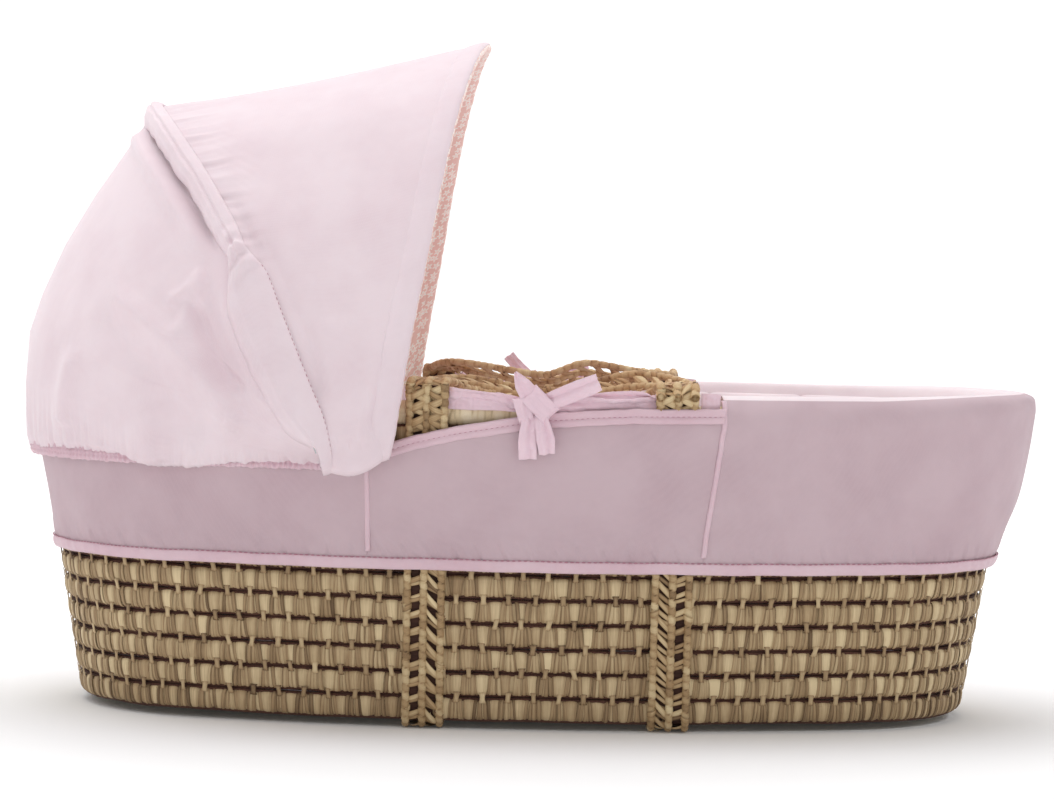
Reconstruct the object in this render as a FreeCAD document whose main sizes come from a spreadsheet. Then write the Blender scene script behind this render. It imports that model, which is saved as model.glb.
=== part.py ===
import FreeCAD, Part
import math
import os

import Sketcher
from FreeCAD import Placement, Rotation, Vector

# A woven baby cradle: an oval basket of stacked courses on two straps, two carry
# handles, a padded liner, a skirt of four panels, a mattress and a folding hood.
# Millimetres. +X is the foot end, -X the head end with the hood, +Z up. The
# origin is in the middle of the basket, on the surface that its straps stand on.

SIZES = {
    # The oval that every ring follows: four arcs, tangent to each other.
    "end_centre": 225.0,          # end arcs' centres, from the middle along X
    "end_bulge": 35.0,            # half width less the end arc's radius
    "length_over_width": 190.0,   # half length less half width, the same at every height
    # The woven wall: its outer half length at the floor, and how far it leans out.
    "floor_half_length": 369.0,
    "wall_lean": 0.165,
    "course_thick": 10.0,
    "course_tall": 17.0,
    "course_pitch": 19.83,
    "first_course_height": 16.5,
    "rim_half_length": 403.0,
    "rim_height": 255.0,
    "rim_radius": 8.0,
    # The woven base.
    "base_underside": 7.0,
    "base_thick": 9.0,
    "base_half_length": 361.0,
    "base_course_wide": 19.0,
    "base_course_pitch": 19.5,
    # Straps that run under the base and up both sides.
    "strap_wide": 33.0,
    "strap_thick": 5.5,
    "strap_gap": 1.0,
    "strap_foot_thick": 6.7,
    "strap_top": 272.0,
    "strap_head_at": -78.0,
    "strap_foot_at": 118.0,
    # Carry handles.
    "hinge_height": 276.0,
    "hinge_half_width": 221.0,
    "hinge_barrel_radius": 3.3,
    "handle_reach": 110.0,
    "handle_corner": 70.0,
    "handle_thick": 6.0,
    "handle_dip": 24.0,
    "handle_tilt": 7.0,
    "handle_corner_share": 0.29,
    "handle_slope_half": 62.0,
    "handle_trough_half": 18.0,
    # Liner and mattress.
    "liner_gap": 10.7,
    "liner_thick": 7.0,
    "liner_bottom": 20.0,
    "liner_top": 262.0,
    "mattress_half_length": 347.0,
    "mattress_underside": 20.5,
    "mattress_thick": 42.0,
    "cover_thick": 1.5,
    "mattress_gap": 0.3,
    # Outer skirt.
    "skirt_offset": 7.2,
    "skirt_thick": 2.6,
    "skirt_bottom": 118.0,
    "skirt_shoulder": 250.0,
    "skirt_crest": 271.0,
    "side_panel_top": 247.0,
    "roll_edge": 5.0,
    "roll_run": 16.0,
    "roll_skin": 3.0,
    "foot_flare": 5.0,
    "foot_flare_height": 148.0,
    "head_seam_at": -123.0,
    "foot_seam_at": 142.0,
    "seam_gap": 1.0,
    "binding_thick": 1.5,
    "binding_tall": 12.0,
    # Tie ribbons and bows.
    "ribbon_thick": 1.4,
    "ribbon_tall": 12.0,
    "ribbon_bottom": 250.0,
    "bow_at": 8.0,
    "bow_height": 258.0,
    "bow_thick": 4.0,
    "bow_half_width": 233.0,
    # Hood: its pivot, clips and bows.
    "pivot_at": -138.0,
    "pivot_height": 223.0,
    "clip_wide": 16.0,
    "clip_thick": 3.0,
    "clip_half_width": 221.5,
    "clip_crest": 275.0,
    "clip_inner_half_width": 180.0,
    "boss_radius": 11.0,
    "pin_radius": 3.0,
    "pin_play": 0.3,
    "pin_head_radius": 6.0,
    "rod_radius": 2.5,
    "eye_radius": 8.0,
    "tab_half_wide": 2.2,
    "rod_start": 14.0,
    "mid_bow_half_width": 229.5,
    "mid_bow_reach": 332.0,
    "mid_bow_angle": 123.2,
    "front_bow_half_width": 235.0,
    "front_bow_reach": 346.0,
    "front_bow_angle": 73.6,
    "casing_radius": 4.0,
    "casing_bore_radius": 2.8,
    # Hood fabric.
    "canopy_offset": 6.0,
    "canopy_thick": 2.0,
    "lining_thick": 1.5,
    "lining_gap": 8.5,
    "rear_high_angle": 148.6,
    "rear_high_reach": 312.0,
    "rear_middle_angle": 166.0,
    "rear_middle_reach": 298.5,
    "rear_low_angle": 181.0,
    "rear_low_reach": 286.0,
    "canopy_foot": 25.0,
    "lining_foot": 60.0,
    "hem_offset": 10.6,
    "hem_thick": 3.4,
    "hem_bottom": 214.0,
    "hem_tall": 14.0,
    "hem_front_at": -156.0,
}

WALL_COURSES = 12
BASE_COURSES = 6
FAR_AWAY = 500.0              # past every outline, for the boxes that cut the rings

doc = FreeCAD.newDocument("cradle")
sheet = doc.addObject("Spreadsheet::Sheet", "sizes")
for row, (alias, number) in enumerate(SIZES.items(), start=1):
    sheet.set(f"A{row}", alias)
    sheet.set(f"B{row}", str(number))
    sheet.setAlias(f"B{row}", alias)
doc.recompute()


class Length:
    """A length that knows its number and the sheet expression that gives it."""

    def __init__(self, number, text):
        self.number = number
        self.text = text

    def joined(self, other, sign, number):
        return Length(number, f"({self.text} {sign} {other.text})")

    def __add__(self, other):
        other = length(other)
        return self.joined(other, "+", self.number + other.number)

    def __sub__(self, other):
        other = length(other)
        return self.joined(other, "-", self.number - other.number)

    def __mul__(self, other):
        other = length(other)
        return self.joined(other, "*", self.number * other.number)

    def __truediv__(self, other):
        other = length(other)
        return self.joined(other, "/", self.number / other.number)

    def __neg__(self):
        return length(0) - self


def length(value):
    return value if isinstance(value, Length) else Length(float(value), f"{float(value):g}")


def size(alias):
    return Length(float(sheet.get(alias)), f"sizes.{alias}")


def wall_outer(height):
    """The wall's outer half length at a height."""
    return size("floor_half_length") + size("wall_lean") * height


SIDE_CENTRE = (
    size("end_centre") * size("end_centre") - size("end_bulge") * size("end_bulge")
) / (size("end_bulge") * 2)


# ---------------------------------------------------------------- sketches

START, END, CENTRE = 1, 2, 3     # a sketch edge's points
ORIGIN_POINT = (-1, 1)
ACROSS, UPWARD = -1, -2          # a sketch's own axes


def new_body(name):
    body = doc.addObject("PartDesign::Body", name)
    body.Label = name
    return body


def new_sketch(body, name, plane, offset=None):
    """A sketch on one of its body's origin planes, moved along the plane's normal."""
    sketch = body.newObject("Sketcher::SketchObject", name)
    origin_plane = next(f for f in body.Origin.OriginFeatures if f.Role == plane)
    sketch.AttachmentSupport = (origin_plane, [""])
    sketch.MapMode = "FlatFace"
    if offset is not None:
        sketch.AttachmentOffset = Placement(Vector(0, 0, offset.number), Rotation())
        sketch.setExpression("AttachmentOffset.Base.z", offset.text)
    return sketch


def fix(sketch, kind, *places):
    sketch.addConstraint(Sketcher.Constraint(kind, *places))


def dimension(sketch, kind, places, value):
    index = sketch.addConstraint(Sketcher.Constraint(kind, *places, value.number))
    sketch.setExpression(f"Constraints[{index}]", value.text)


def place_point(sketch, edge, point, across, up):
    """Dimension a point from the sketch's origin; either length may be negative."""
    for kind, value in (("DistanceX", across), ("DistanceY", up)):
        if abs(value.number) < 1e-6:
            fix(sketch, "PointOnObject", edge, point, UPWARD if kind == "DistanceX" else ACROSS)
        elif value.number > 0:
            dimension(sketch, kind, (*ORIGIN_POINT, edge, point), value)
        else:
            dimension(sketch, kind, (edge, point, *ORIGIN_POINT), -value)


def arc(centre, radius, start, end):
    circle = Part.Circle(Vector(*centre, 0), Vector(0, 0, 1), radius)
    return Part.ArcOfCircle(circle, start, end)


def oval(sketch, half_length):
    """The four-arc oval, started on the X axis at the foot end."""
    end_centre = size("end_centre")
    reach = end_centre.number
    side = SIDE_CENTRE.number
    end_radius = half_length.number - reach
    side_radius = half_length.number - size("length_over_width").number + side
    turn = math.atan2(side, reach)
    for part in (
        arc((reach, 0), end_radius, 0, turn),
        arc((0, -side), side_radius, turn, math.pi - turn),
        arc((-reach, 0), end_radius, math.pi - turn, math.pi + turn),
        arc((0, side), side_radius, math.pi + turn, 2 * math.pi - turn),
        arc((reach, 0), end_radius, 2 * math.pi - turn, 2 * math.pi),
    ):
        sketch.addGeometry(part, False)
    place_point(sketch, 0, CENTRE, end_centre, length(0))
    place_point(sketch, 0, START, half_length, length(0))
    place_point(sketch, 1, CENTRE, length(0), -SIDE_CENTRE)
    fix(sketch, "Tangent", 0, END, 1, START)
    place_point(sketch, 2, CENTRE, -end_centre, length(0))
    fix(sketch, "Tangent", 1, END, 2, START)
    place_point(sketch, 3, CENTRE, length(0), SIDE_CENTRE)
    fix(sketch, "Tangent", 2, END, 3, START)
    fix(sketch, "Coincident", 4, CENTRE, 0, CENTRE)
    fix(sketch, "Coincident", 4, END, 0, START)
    fix(sketch, "Vertical", 0, END, 3, END)
    fix(sketch, "Vertical", 0, END, 4, START)


def polygon(sketch, points):
    """A closed outline of straight edges through dimensioned points."""
    first = sketch.GeometryCount
    for here, after in zip(points, points[1:] + points[:1]):
        line = Part.LineSegment(
            Vector(here[0].number, here[1].number, 0), Vector(after[0].number, after[1].number, 0)
        )
        sketch.addGeometry(line, False)
    for number, (across, up) in enumerate(points):
        edge = first + number
        before = first + (number - 1) % len(points)
        fix(sketch, "Coincident", before, END, edge, START)
        place_point(sketch, edge, START, across, up)


def stadium(sketch, across, up, wide, tall):
    """A bar's section with half-round ends, upright or lying, about its centre."""
    upright = tall.number > wide.number
    radius = (wide if upright else tall) / 2
    straight = (tall - wide) if upright else (wide - tall)
    half = straight.number / 2
    run = (0, half) if upright else (half, 0)
    side = (radius.number, 0) if upright else (0, -radius.number)
    turn = 0 if upright else -math.pi / 2
    x, y = across.number, up.number
    corners = [
        Vector(x + side[0] - run[0], y + side[1] - run[1], 0),
        Vector(x + side[0] + run[0], y + side[1] + run[1], 0),
        Vector(x - side[0] + run[0], y - side[1] + run[1], 0),
        Vector(x - side[0] - run[0], y - side[1] - run[1], 0),
    ]
    sketch.addGeometry(Part.LineSegment(corners[0], corners[1]), False)
    sketch.addGeometry(arc((x + run[0], y + run[1]), radius.number, turn, turn + math.pi), False)
    sketch.addGeometry(Part.LineSegment(corners[2], corners[3]), False)
    sketch.addGeometry(
        arc((x - run[0], y - run[1]), radius.number, turn + math.pi, turn + 2 * math.pi), False
    )
    for edge in range(4):
        fix(sketch, "Tangent", edge, END, (edge + 1) % 4, START)
    fix(sketch, "Vertical" if upright else "Horizontal", 0)
    fix(sketch, "Equal", 1, 3)
    dimension(sketch, "Radius", (1,), radius)
    dimension(sketch, "DistanceY" if upright else "DistanceX", (0, START, 0, END), straight)
    shift = straight / 2
    place_point(sketch, 3, CENTRE, across if upright else across - shift, up - shift if upright else up)


def circle(sketch, across, up, radius):
    edge = sketch.GeometryCount
    centre = Vector(across.number, up.number, 0)
    sketch.addGeometry(Part.Circle(centre, Vector(0, 0, 1), radius.number), False)
    dimension(sketch, "Radius", (edge,), radius)
    place_point(sketch, edge, CENTRE, across, up)


# ---------------------------------------------------------------- solids

def ring(name, half_length, draw, *section):
    """A section carried once round the oval that crosses the X axis at half_length."""
    body = new_body(name)
    spine = new_sketch(body, name + "_spine", "XY_Plane")
    oval(spine, half_length)
    profile = new_sketch(body, name + "_section", "XZ_Plane")
    draw(profile, *section)
    pipe = body.newObject("PartDesign::AdditivePipe", name + "_sweep")
    pipe.Profile = profile
    pipe.Spine = spine
    return body


def oval_plate(name, half_length, underside, thick):
    body = new_body(name)
    outline = new_sketch(body, name + "_outline", "XY_Plane", underside)
    oval(outline, half_length)
    pad = body.newObject("PartDesign::Pad", name + "_pad")
    pad.Profile = outline
    pad.setExpression("Length", thick.text)
    return body


def plate(name, plane, points, offset, thick):
    """A polygon padded along its plane's normal, from offset."""
    body = new_body(name)
    outline = new_sketch(body, name + "_outline", plane, offset)
    polygon(outline, points)
    pad = body.newObject("PartDesign::Pad", name + "_pad")
    pad.Profile = outline
    pad.setExpression("Length", thick.text)
    return body


def box(name, low, high):
    block = doc.addObject("Part::Box", name)
    for side, corner, start, end in zip(("Length", "Width", "Height"), "xyz", low, high):
        block.setExpression(side, (end - start).text)
        block.setExpression(f"Placement.Base.{corner}", start.text)
    return block


def cylinder_across(name, at, height, inner, outer, radius, side):
    """A cylinder along Y, from half width inner to outer, on the side -1 or +1."""
    drum = doc.addObject("Part::Cylinder", name)
    drum.setExpression("Radius", radius.text)
    drum.setExpression("Height", (outer - inner).text)
    start = Vector(at.number, side * inner.number, height.number)
    drum.Placement = Placement(start, Rotation(Vector(1, 0, 0), -90 * side))
    return drum


def common(name, base, tool):
    shared = doc.addObject("Part::Common", name)
    shared.Label = name
    shared.Base = base
    shared.Tool = tool
    return shared


def cut(name, base, tool):
    rest = doc.addObject("Part::Cut", name)
    rest.Label = name
    rest.Base = base
    rest.Tool = tool
    return rest


def fuse(name, pieces):
    whole = doc.addObject("Part::MultiFuse", name)
    whole.Label = name
    whole.Shapes = pieces
    return whole


nodes = {}


def keep(name, piece):
    piece.Label = name
    nodes[name] = piece
    return piece


# ---------------------------------------------------------------- the basket

def woven_base():
    underside = size("base_underside")
    thick = size("base_thick")
    middle = underside + thick / 2
    for number in range(BASE_COURSES):
        outer = size("base_half_length") - size("base_course_pitch") * number
        centre = outer - size("base_course_wide") / 2
        name = f"base_course_{number + 1}"
        keep(name, ring(name, centre, stadium, centre, middle, size("base_course_wide"), thick))
    core = size("base_half_length") - size("base_course_pitch") * BASE_COURSES
    keep("base_core", oval_plate("base_core", core, underside, thick))


def woven_wall():
    thick = size("course_thick")
    for number in range(WALL_COURSES):
        height = size("first_course_height") + size("course_pitch") * number
        centre = wall_outer(height) - thick / 2
        name = f"wall_course_{number + 1:02d}"
        keep(name, ring(name, centre, stadium, centre, height, thick, size("course_tall")))
    rim = size("rim_half_length")
    keep("rim_roll", ring("rim_roll", rim, circle, rim, size("rim_height"), size("rim_radius")))


def skin_section(bottom, top, offset, thick):
    """A thin leaning section that follows the wall at an offset outside it."""
    return [
        (wall_outer(bottom) + offset, bottom),
        (wall_outer(bottom) + offset + thick, bottom),
        (wall_outer(top) + offset + thick, top),
        (wall_outer(top) + offset, top),
    ]


def skin_ring(name, section):
    return ring(name, section[0][0], polygon, section)


def slice_box(name, start, end, side=0):
    """A box from X start to end, on both sides of the middle or on one."""
    far = length(FAR_AWAY)
    low_y = length(0) if side > 0 else -far
    high_y = length(0) if side < 0 else far
    return box(name, (start, low_y, -far), (end, high_y, far))


def straps():
    thick = size("strap_thick")
    section = skin_section(length(0), size("strap_top"), size("strap_gap"), thick)
    for name, middle in (("strap_head", size("strap_head_at")), ("strap_foot", size("strap_foot_at"))):
        start = middle - size("strap_wide") / 2
        end = middle + size("strap_wide") / 2
        legs = common(
            name + "_legs", skin_ring(name + "_ring", section), slice_box(name + "_slice", start, end)
        )
        reach = size("floor_half_length") - size("length_over_width") - thick / 2
        foot = box(name + "_foot", (start, -reach, length(0)), (end, reach, size("strap_foot_thick")))
        keep(name, fuse(name, [legs, foot]))


def handle(name, side):
    """A flat braided loop that dips in its middle, hinged where the straps fold over."""
    left = size("strap_head_at") - size("strap_wide") / 2
    right = size("strap_foot_at") + size("strap_wide") / 2
    wide = size("strap_wide")
    reach = size("handle_reach")
    corner = size("handle_corner")

    def horseshoe(inset, end):
        """Half of the loop's plan, as chamfered corners that stand for its round ones."""
        lift = (corner - inset) * size("handle_corner_share").number
        out = reach - inset
        straight = reach - corner
        points = [
            (left + inset, end),
            (left + inset, straight),
            (left + inset + lift, straight + (corner - inset - lift)),
            (left + corner, out),
            (right - corner, out),
            (right - inset - lift, straight + (corner - inset - lift)),
            (right - inset, straight),
            (right - inset, end),
        ]
        return points

    outline = horseshoe(length(0), length(0)) + horseshoe(wide, length(0))[::-1]
    if side > 0:
        outline = [(across, -up) for across, up in outline][::-1]
    plan = plate(name + "_plan", "XY_Plane", outline, -length(FAR_AWAY / 5), length(FAR_AWAY * 2 / 5))
    half = size("handle_thick") / 2
    dip = size("handle_dip")
    middle = (size("strap_head_at") + size("strap_foot_at")) / 2
    slope = size("handle_slope_half")
    trough = size("handle_trough_half")
    wave = [
        (left - 1, length(0)),
        (middle - slope, length(0)),
        (middle - trough, -dip),
        (middle + trough, -dip),
        (middle + slope, length(0)),
        (right + 1, length(0)),
    ]
    band = [(across, up - half) for across, up in wave]
    band += [(across, up + half) for across, up in reversed(wave)]
    slab = plate(
        name + "_slab", "XZ_Plane", band, -length(FAR_AWAY / 2), length(FAR_AWAY)
    )
    loop = common(name + "_loop", plan, slab)
    barrels = []
    for leg, start in (("head", left), ("foot", right - wide)):
        barrel = doc.addObject("Part::Cylinder", f"{name}_{leg}_barrel")
        barrel.setExpression("Radius", "sizes.hinge_barrel_radius")
        barrel.setExpression("Height", "sizes.strap_wide")
        barrel.Placement = Placement(Vector(start.number, 0, 0), Rotation(Vector(0, 1, 0), 90))
        barrels.append(barrel)
    whole = keep(name, fuse(name, [loop, *barrels]))
    hinge = Vector(0, side * size("hinge_half_width").number, size("hinge_height").number)
    tilt = Rotation(Vector(1, 0, 0), -side * size("handle_tilt").number)
    whole.Placement = Placement(hinge, tilt)


# ---------------------------------------------------------------- soft dressing

def liner():
    """A padded inner wall that stands clear of the woven wall and the rim roll."""
    gap = size("liner_gap")
    thick = size("liner_thick")
    bottom = size("liner_bottom")
    top = size("liner_top")
    waist = size("rim_height") - 15
    neck = size("rim_height") - size("rim_radius") - 1
    inner = size("rim_half_length") - size("rim_radius") - 0.4
    section = [
        (wall_outer(bottom) - gap - thick, bottom),
        (wall_outer(bottom) - gap, bottom),
        (wall_outer(waist) - gap - 3, waist),
        (inner, neck),
        (inner, top),
        (inner - thick, top),
        (inner - thick, neck),
        (wall_outer(waist) - gap - thick - 3, waist),
    ]
    keep("liner", skin_ring("liner", section))


def skirt():
    """Four panels round the outside: head and foot roll over the rim, the sides stay below."""
    offset = size("skirt_offset")
    thick = size("skirt_thick")
    bottom = size("skirt_bottom")
    shoulder = size("skirt_shoulder")
    crest = size("skirt_crest")
    outer = wall_outer(shoulder) + offset + thick
    lip = size("rim_half_length") - size("rim_radius") - size("liner_thick") / 2
    edge = size("roll_edge")
    run = size("roll_run")
    skin = size("roll_skin")
    flare = size("foot_flare")
    flare_height = size("foot_flare_height")

    def rolled(outer, belly):
        """Up the wall, round a soft shoulder and over the rim. Above belly it stands out."""
        up = [
            (wall_outer(bottom) + offset, bottom),
            (wall_outer(bottom) + offset + thick, bottom),
        ]
        down = [(outer - thick, shoulder)]
        if belly:
            swollen = wall_outer(flare_height) + offset + flare
            tight = wall_outer(belly) + offset
            up += [(tight + thick, belly), (swollen + thick, flare_height)]
            down += [(swollen, flare_height), (tight, belly)]
        over = [
            (outer, shoulder),
            (outer - edge, crest - edge),
            (outer - run, crest),
            (lip, crest - 1),
            (lip, crest - 1 - skin),
            (outer - run - 1, crest - skin),
            (outer - edge - skin, crest - edge - 2),
        ]
        return up + over + down

    gap = size("seam_gap") / 2
    far = length(FAR_AWAY)
    head_seam = size("head_seam_at")
    foot_seam = size("foot_seam_at")
    above_hem = bottom + size("binding_tall") + 1
    for name, start, end, section in (
        ("skirt_head_panel", -far, head_seam - gap, rolled(outer, None)),
        ("skirt_foot_panel", foot_seam + gap, far, rolled(outer + flare, above_hem)),
    ):
        whole = skin_ring(name + "_ring", section)
        keep(name, common(name, whole, slice_box(name + "_slice", start, end)))
    top = size("side_panel_top")
    side_section = skin_section(bottom, top, offset, thick)
    binding = skin_section(
        top - size("binding_tall"), top, offset + thick + 0.2, size("binding_thick")
    )
    for word, side in (("near", -1), ("far", 1)):
        for name, section in (
            (f"skirt_side_panel_{word}", side_section),
            (f"side_panel_binding_{word}", binding),
        ):
            cutter = slice_box(name + "_slice", head_seam + gap, foot_seam - gap, side)
            keep(name, common(name, skin_ring(name + "_ring", section), cutter))
    hem = skin_section(
        bottom - 1, bottom + size("binding_tall"), offset + thick + 0.2, size("binding_thick")
    )
    keep("skirt_hem_binding", skin_ring("skirt_hem_binding", hem))


def ties():
    """Ribbons along the rim between the straps, and a bow where they meet."""
    bottom = size("ribbon_bottom")
    section = skin_section(bottom, bottom + size("ribbon_tall"), length(0.8), size("ribbon_thick"))
    strap_edge = size("strap_head_at") + size("strap_wide") / 2 + 1
    far_edge = size("strap_foot_at") - size("strap_wide") / 2 - 1
    knot = size("bow_at")
    for word, side in (("near", -1), ("far", 1)):
        for end, start, stop in (("head", strap_edge, knot - 12), ("foot", knot + 12, far_edge)):
            name = f"tie_ribbon_{word}_{end}"
            cutter = slice_box(name + "_slice", start, stop, side)
            keep(name, common(name, skin_ring(name + "_ring", section), cutter))
        bow(f"tie_bow_{word}", side)


def bow(name, side):
    """Two flat loops and two hanging tails in one plane, on a thick knot."""
    knot = size("bow_at")
    height = size("bow_height")
    outer = size("bow_half_width") + size("bow_thick")
    offset = size("bow_half_width") if side < 0 else -outer
    shapes = {
        "loop_head": [(-4, 5), (-4, -4), (-40, -9), (-47, 1), (-38, 12)],
        "loop_foot": [(4, -4), (4, 5), (42, 14), (50, 4), (40, -8)],
        "tail_head": [(-5, 0), (3, 0), (-3, -37), (-14, -36)],
        "tail_foot": [(-3, 0), (5, 0), (17, -33), (6, -38)],
    }
    pieces = []
    for word, corners in shapes.items():
        points = [(knot + across, height + up) for across, up in corners]
        pieces.append(plate(f"{name}_{word}", "XZ_Plane", points, offset, size("bow_thick")))
    inner = size("bow_half_width") - 8.5
    low = -outer - 1 if side < 0 else inner
    high = -inner if side < 0 else outer + 1
    pieces.append(box(name + "_knot", (knot - 8, low, height - 7), (knot + 8, high, height + 8)))
    keep(name, fuse(name, pieces))


def mattress():
    """A foam core in a fitted cover that is open underneath."""
    half = size("mattress_half_length")
    underside = size("mattress_underside")
    thick = size("mattress_thick")
    skin = size("cover_thick")
    gap = size("mattress_gap")
    whole = oval_plate("mattress_cover_outside", half, underside, thick)
    hollow = oval_plate("mattress_cover_inside", half - skin, underside - 1, thick - skin + 1)
    keep("mattress_cover", cut("mattress_cover", whole, hollow))
    foam_half = half - skin - gap
    keep("mattress_foam", oval_plate("mattress_foam", foam_half, underside, thick - skin - gap))


# ---------------------------------------------------------------- the hood

def pivot_point():
    return Vector(size("pivot_at").number, 0, size("pivot_height").number)


def hood_clips():
    """A bracket hooked over each side of the rim, with a boss and a rivet pin."""
    at = size("pivot_at")
    height = size("pivot_height")
    plate_inner = size("clip_half_width")
    thick = size("clip_thick")
    inner = size("clip_inner_half_width")
    crest = size("clip_crest")
    bore = size("pin_radius") + size("pin_play")
    boss_outer = plate_inner + thick + thick
    front_outer = size("front_bow_half_width") + 2
    for word, side in (("near", -1), ("far", 1)):
        name = f"hood_clip_{word}"
        hook = [
            (plate_inner + thick, height - size("boss_radius")),
            (plate_inner + thick, crest),
            (inner, crest),
            (inner, height + 12),
            (inner + thick, height + 12),
            (inner + thick, crest - thick),
            (plate_inner, crest - thick),
            (plate_inner, height - size("boss_radius")),
        ]
        if side < 0:
            hook = [(-across, up) for across, up in hook][::-1]
        start = at - size("clip_wide") / 2
        bracket = plate(name + "_hook", "YZ_Plane", hook, start, size("clip_wide"))
        boss = cylinder_across(
            name + "_boss", at, height, plate_inner + 1, boss_outer, size("boss_radius"), side
        )
        hole = cylinder_across(
            name + "_bore", at, height, plate_inner - 2, boss_outer + 2, bore, side
        )
        keep(name, cut(name, fuse(name + "_solid", [bracket, boss]), hole))

        pin = f"hood_pin_{word}"
        pieces = (
            ("shaft", plate_inner - 2.5, front_outer, size("pin_radius")),
            ("rivet", plate_inner - 2.5, plate_inner - 0.1, size("pin_head_radius") - 1),
            ("head", front_outer, front_outer + 2, size("pin_head_radius")),
        )
        drums = [
            cylinder_across(f"{pin}_{piece}", at, height, low, high, radius, side)
            for piece, low, high, radius in pieces
        ]
        keep(pin, fuse(pin, drums))


def half_ellipse(sketch, half_width, reach, start):
    """A bow's line: half an ellipse whose flat side is at start above the pivot."""
    foot = Vector(0, start.number, 0)
    top = Vector(0, reach.number, 0)
    side = Vector(half_width.number, start.number, 0)
    ellipse = Part.Ellipse(top, side, foot)
    sketch.addGeometry(Part.ArcOfEllipse(ellipse, -math.pi / 2, math.pi / 2), False)
    sketch.exposeInternalGeometry(0)
    major, minor = 1, 2
    place_point(sketch, 0, CENTRE, length(0), start)
    fix(sketch, "Vertical", major)
    dimension(sketch, "Distance", (major, START, major, END), (reach - start) * 2)
    dimension(sketch, "Distance", (minor, START, minor, END), half_width * 2)
    fix(sketch, "Horizontal", 0, START, 0, CENTRE)
    fix(sketch, "Horizontal", 0, END, 0, CENTRE)


def bow_tube(name, half_width, reach, draw):
    """A tube along a bow's half ellipse, upright over the pivot line."""
    body = new_body(name)
    line = new_sketch(body, name + "_line", "YZ_Plane")
    half_ellipse(line, half_width, reach, size("rod_start"))
    section = new_sketch(body, name + "_section", "XY_Plane", size("rod_start"))
    draw(section)
    pipe = body.newObject("PartDesign::AdditivePipe", name + "_sweep")
    pipe.Profile = section
    pipe.Spine = line
    return body


def hood_bow(word, half_width, reach, angle):
    """A round wire arch with a flat eye at each end, and the sleeve it runs in."""
    name = f"hood_{word}_bow"
    across = length(0)

    def rod_section(sketch):
        circle(sketch, across, half_width, size("rod_radius"))

    def casing_section(sketch):
        circle(sketch, across, half_width, size("casing_radius"))
        circle(sketch, across, half_width, size("casing_bore_radius"))

    pieces = [bow_tube(name + "_rod", half_width, reach, rod_section)]
    half_eye = size("clip_thick") / 2
    bore = size("pin_radius") + size("pin_play")
    for side in (-1, 1):
        tag = "near" if side < 0 else "far"
        inner = half_width - half_eye
        outer = half_width + half_eye
        eye = cylinder_across(
            f"{name}_{tag}_eye", across, across, inner, outer, size("eye_radius"), side
        )
        low = inner if side > 0 else -outer
        high = outer if side > 0 else -inner
        tab = box(
            f"{name}_{tag}_tab",
            (-size("tab_half_wide"), low, size("pin_radius") + 2),
            (size("tab_half_wide"), high, size("rod_start") + 4),
        )
        hole = cylinder_across(f"{name}_{tag}_bore", across, across, inner - 1, outer + 1, bore, side)
        solid = fuse(f"{name}_{tag}_end_solid", [eye, tab])
        pieces.append(cut(f"{name}_{tag}_end", solid, hole))
    whole = keep(name, fuse(name, pieces))
    lean = Rotation(Vector(0, -1, 0), angle.number - 90)
    whole.Placement = Placement(pivot_point(), lean)
    casing = f"hood_{word}_casing"
    sleeve = keep(casing, bow_tube(casing, half_width, reach, casing_section))
    sleeve.Placement = Placement(pivot_point(), lean)


def arch_band(angle, half_width, reach, thick, foot):
    """A closed band, between two half ellipses, in the plane at an angle about the pivot."""
    start = size("rod_start").number

    def half_ellipse_above_foot(half, top):
        low = math.asin((foot - start) / (top - start))
        ellipse = Part.Ellipse(Vector(0, top, 0), Vector(half, start, 0), Vector(0, start, 0))
        return Part.ArcOfEllipse(ellipse, low - math.pi / 2, math.pi / 2 - low)

    outer = half_ellipse_above_foot(half_width, reach)
    inner = half_ellipse_above_foot(half_width - thick, reach - thick)
    wire = Part.Wire(Part.__sortEdges__([
        outer.toShape(),
        Part.LineSegment(outer.EndPoint, inner.EndPoint).toShape(),
        inner.toShape(),
        Part.LineSegment(inner.StartPoint, outer.StartPoint).toShape(),
    ]))
    # The band is drawn with X across and Y up; stand it up, then lean it.
    upright = Rotation(Vector(0, 1, 0), Vector(0, 0, 1), Vector(1, 0, 0), "XYZ")
    lean = Rotation(Vector(0, -1, 0), angle - 90)
    wire.Placement = Placement(pivot_point(), lean.multiply(upright))
    return wire


def fabric_panel(name, bands, thick, foot):
    """A thin curved sheet of the hood, lofted through bands that fan about the pivot."""
    wires = [arch_band(angle, half, reach, thick, foot) for angle, half, reach in bands]
    sheet_solid = Part.makeLoft(wires, True, len(wires) < 3)
    panel = doc.addObject("Part::Feature", name)
    panel.Shape = sheet_solid
    keep(name, panel)


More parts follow.
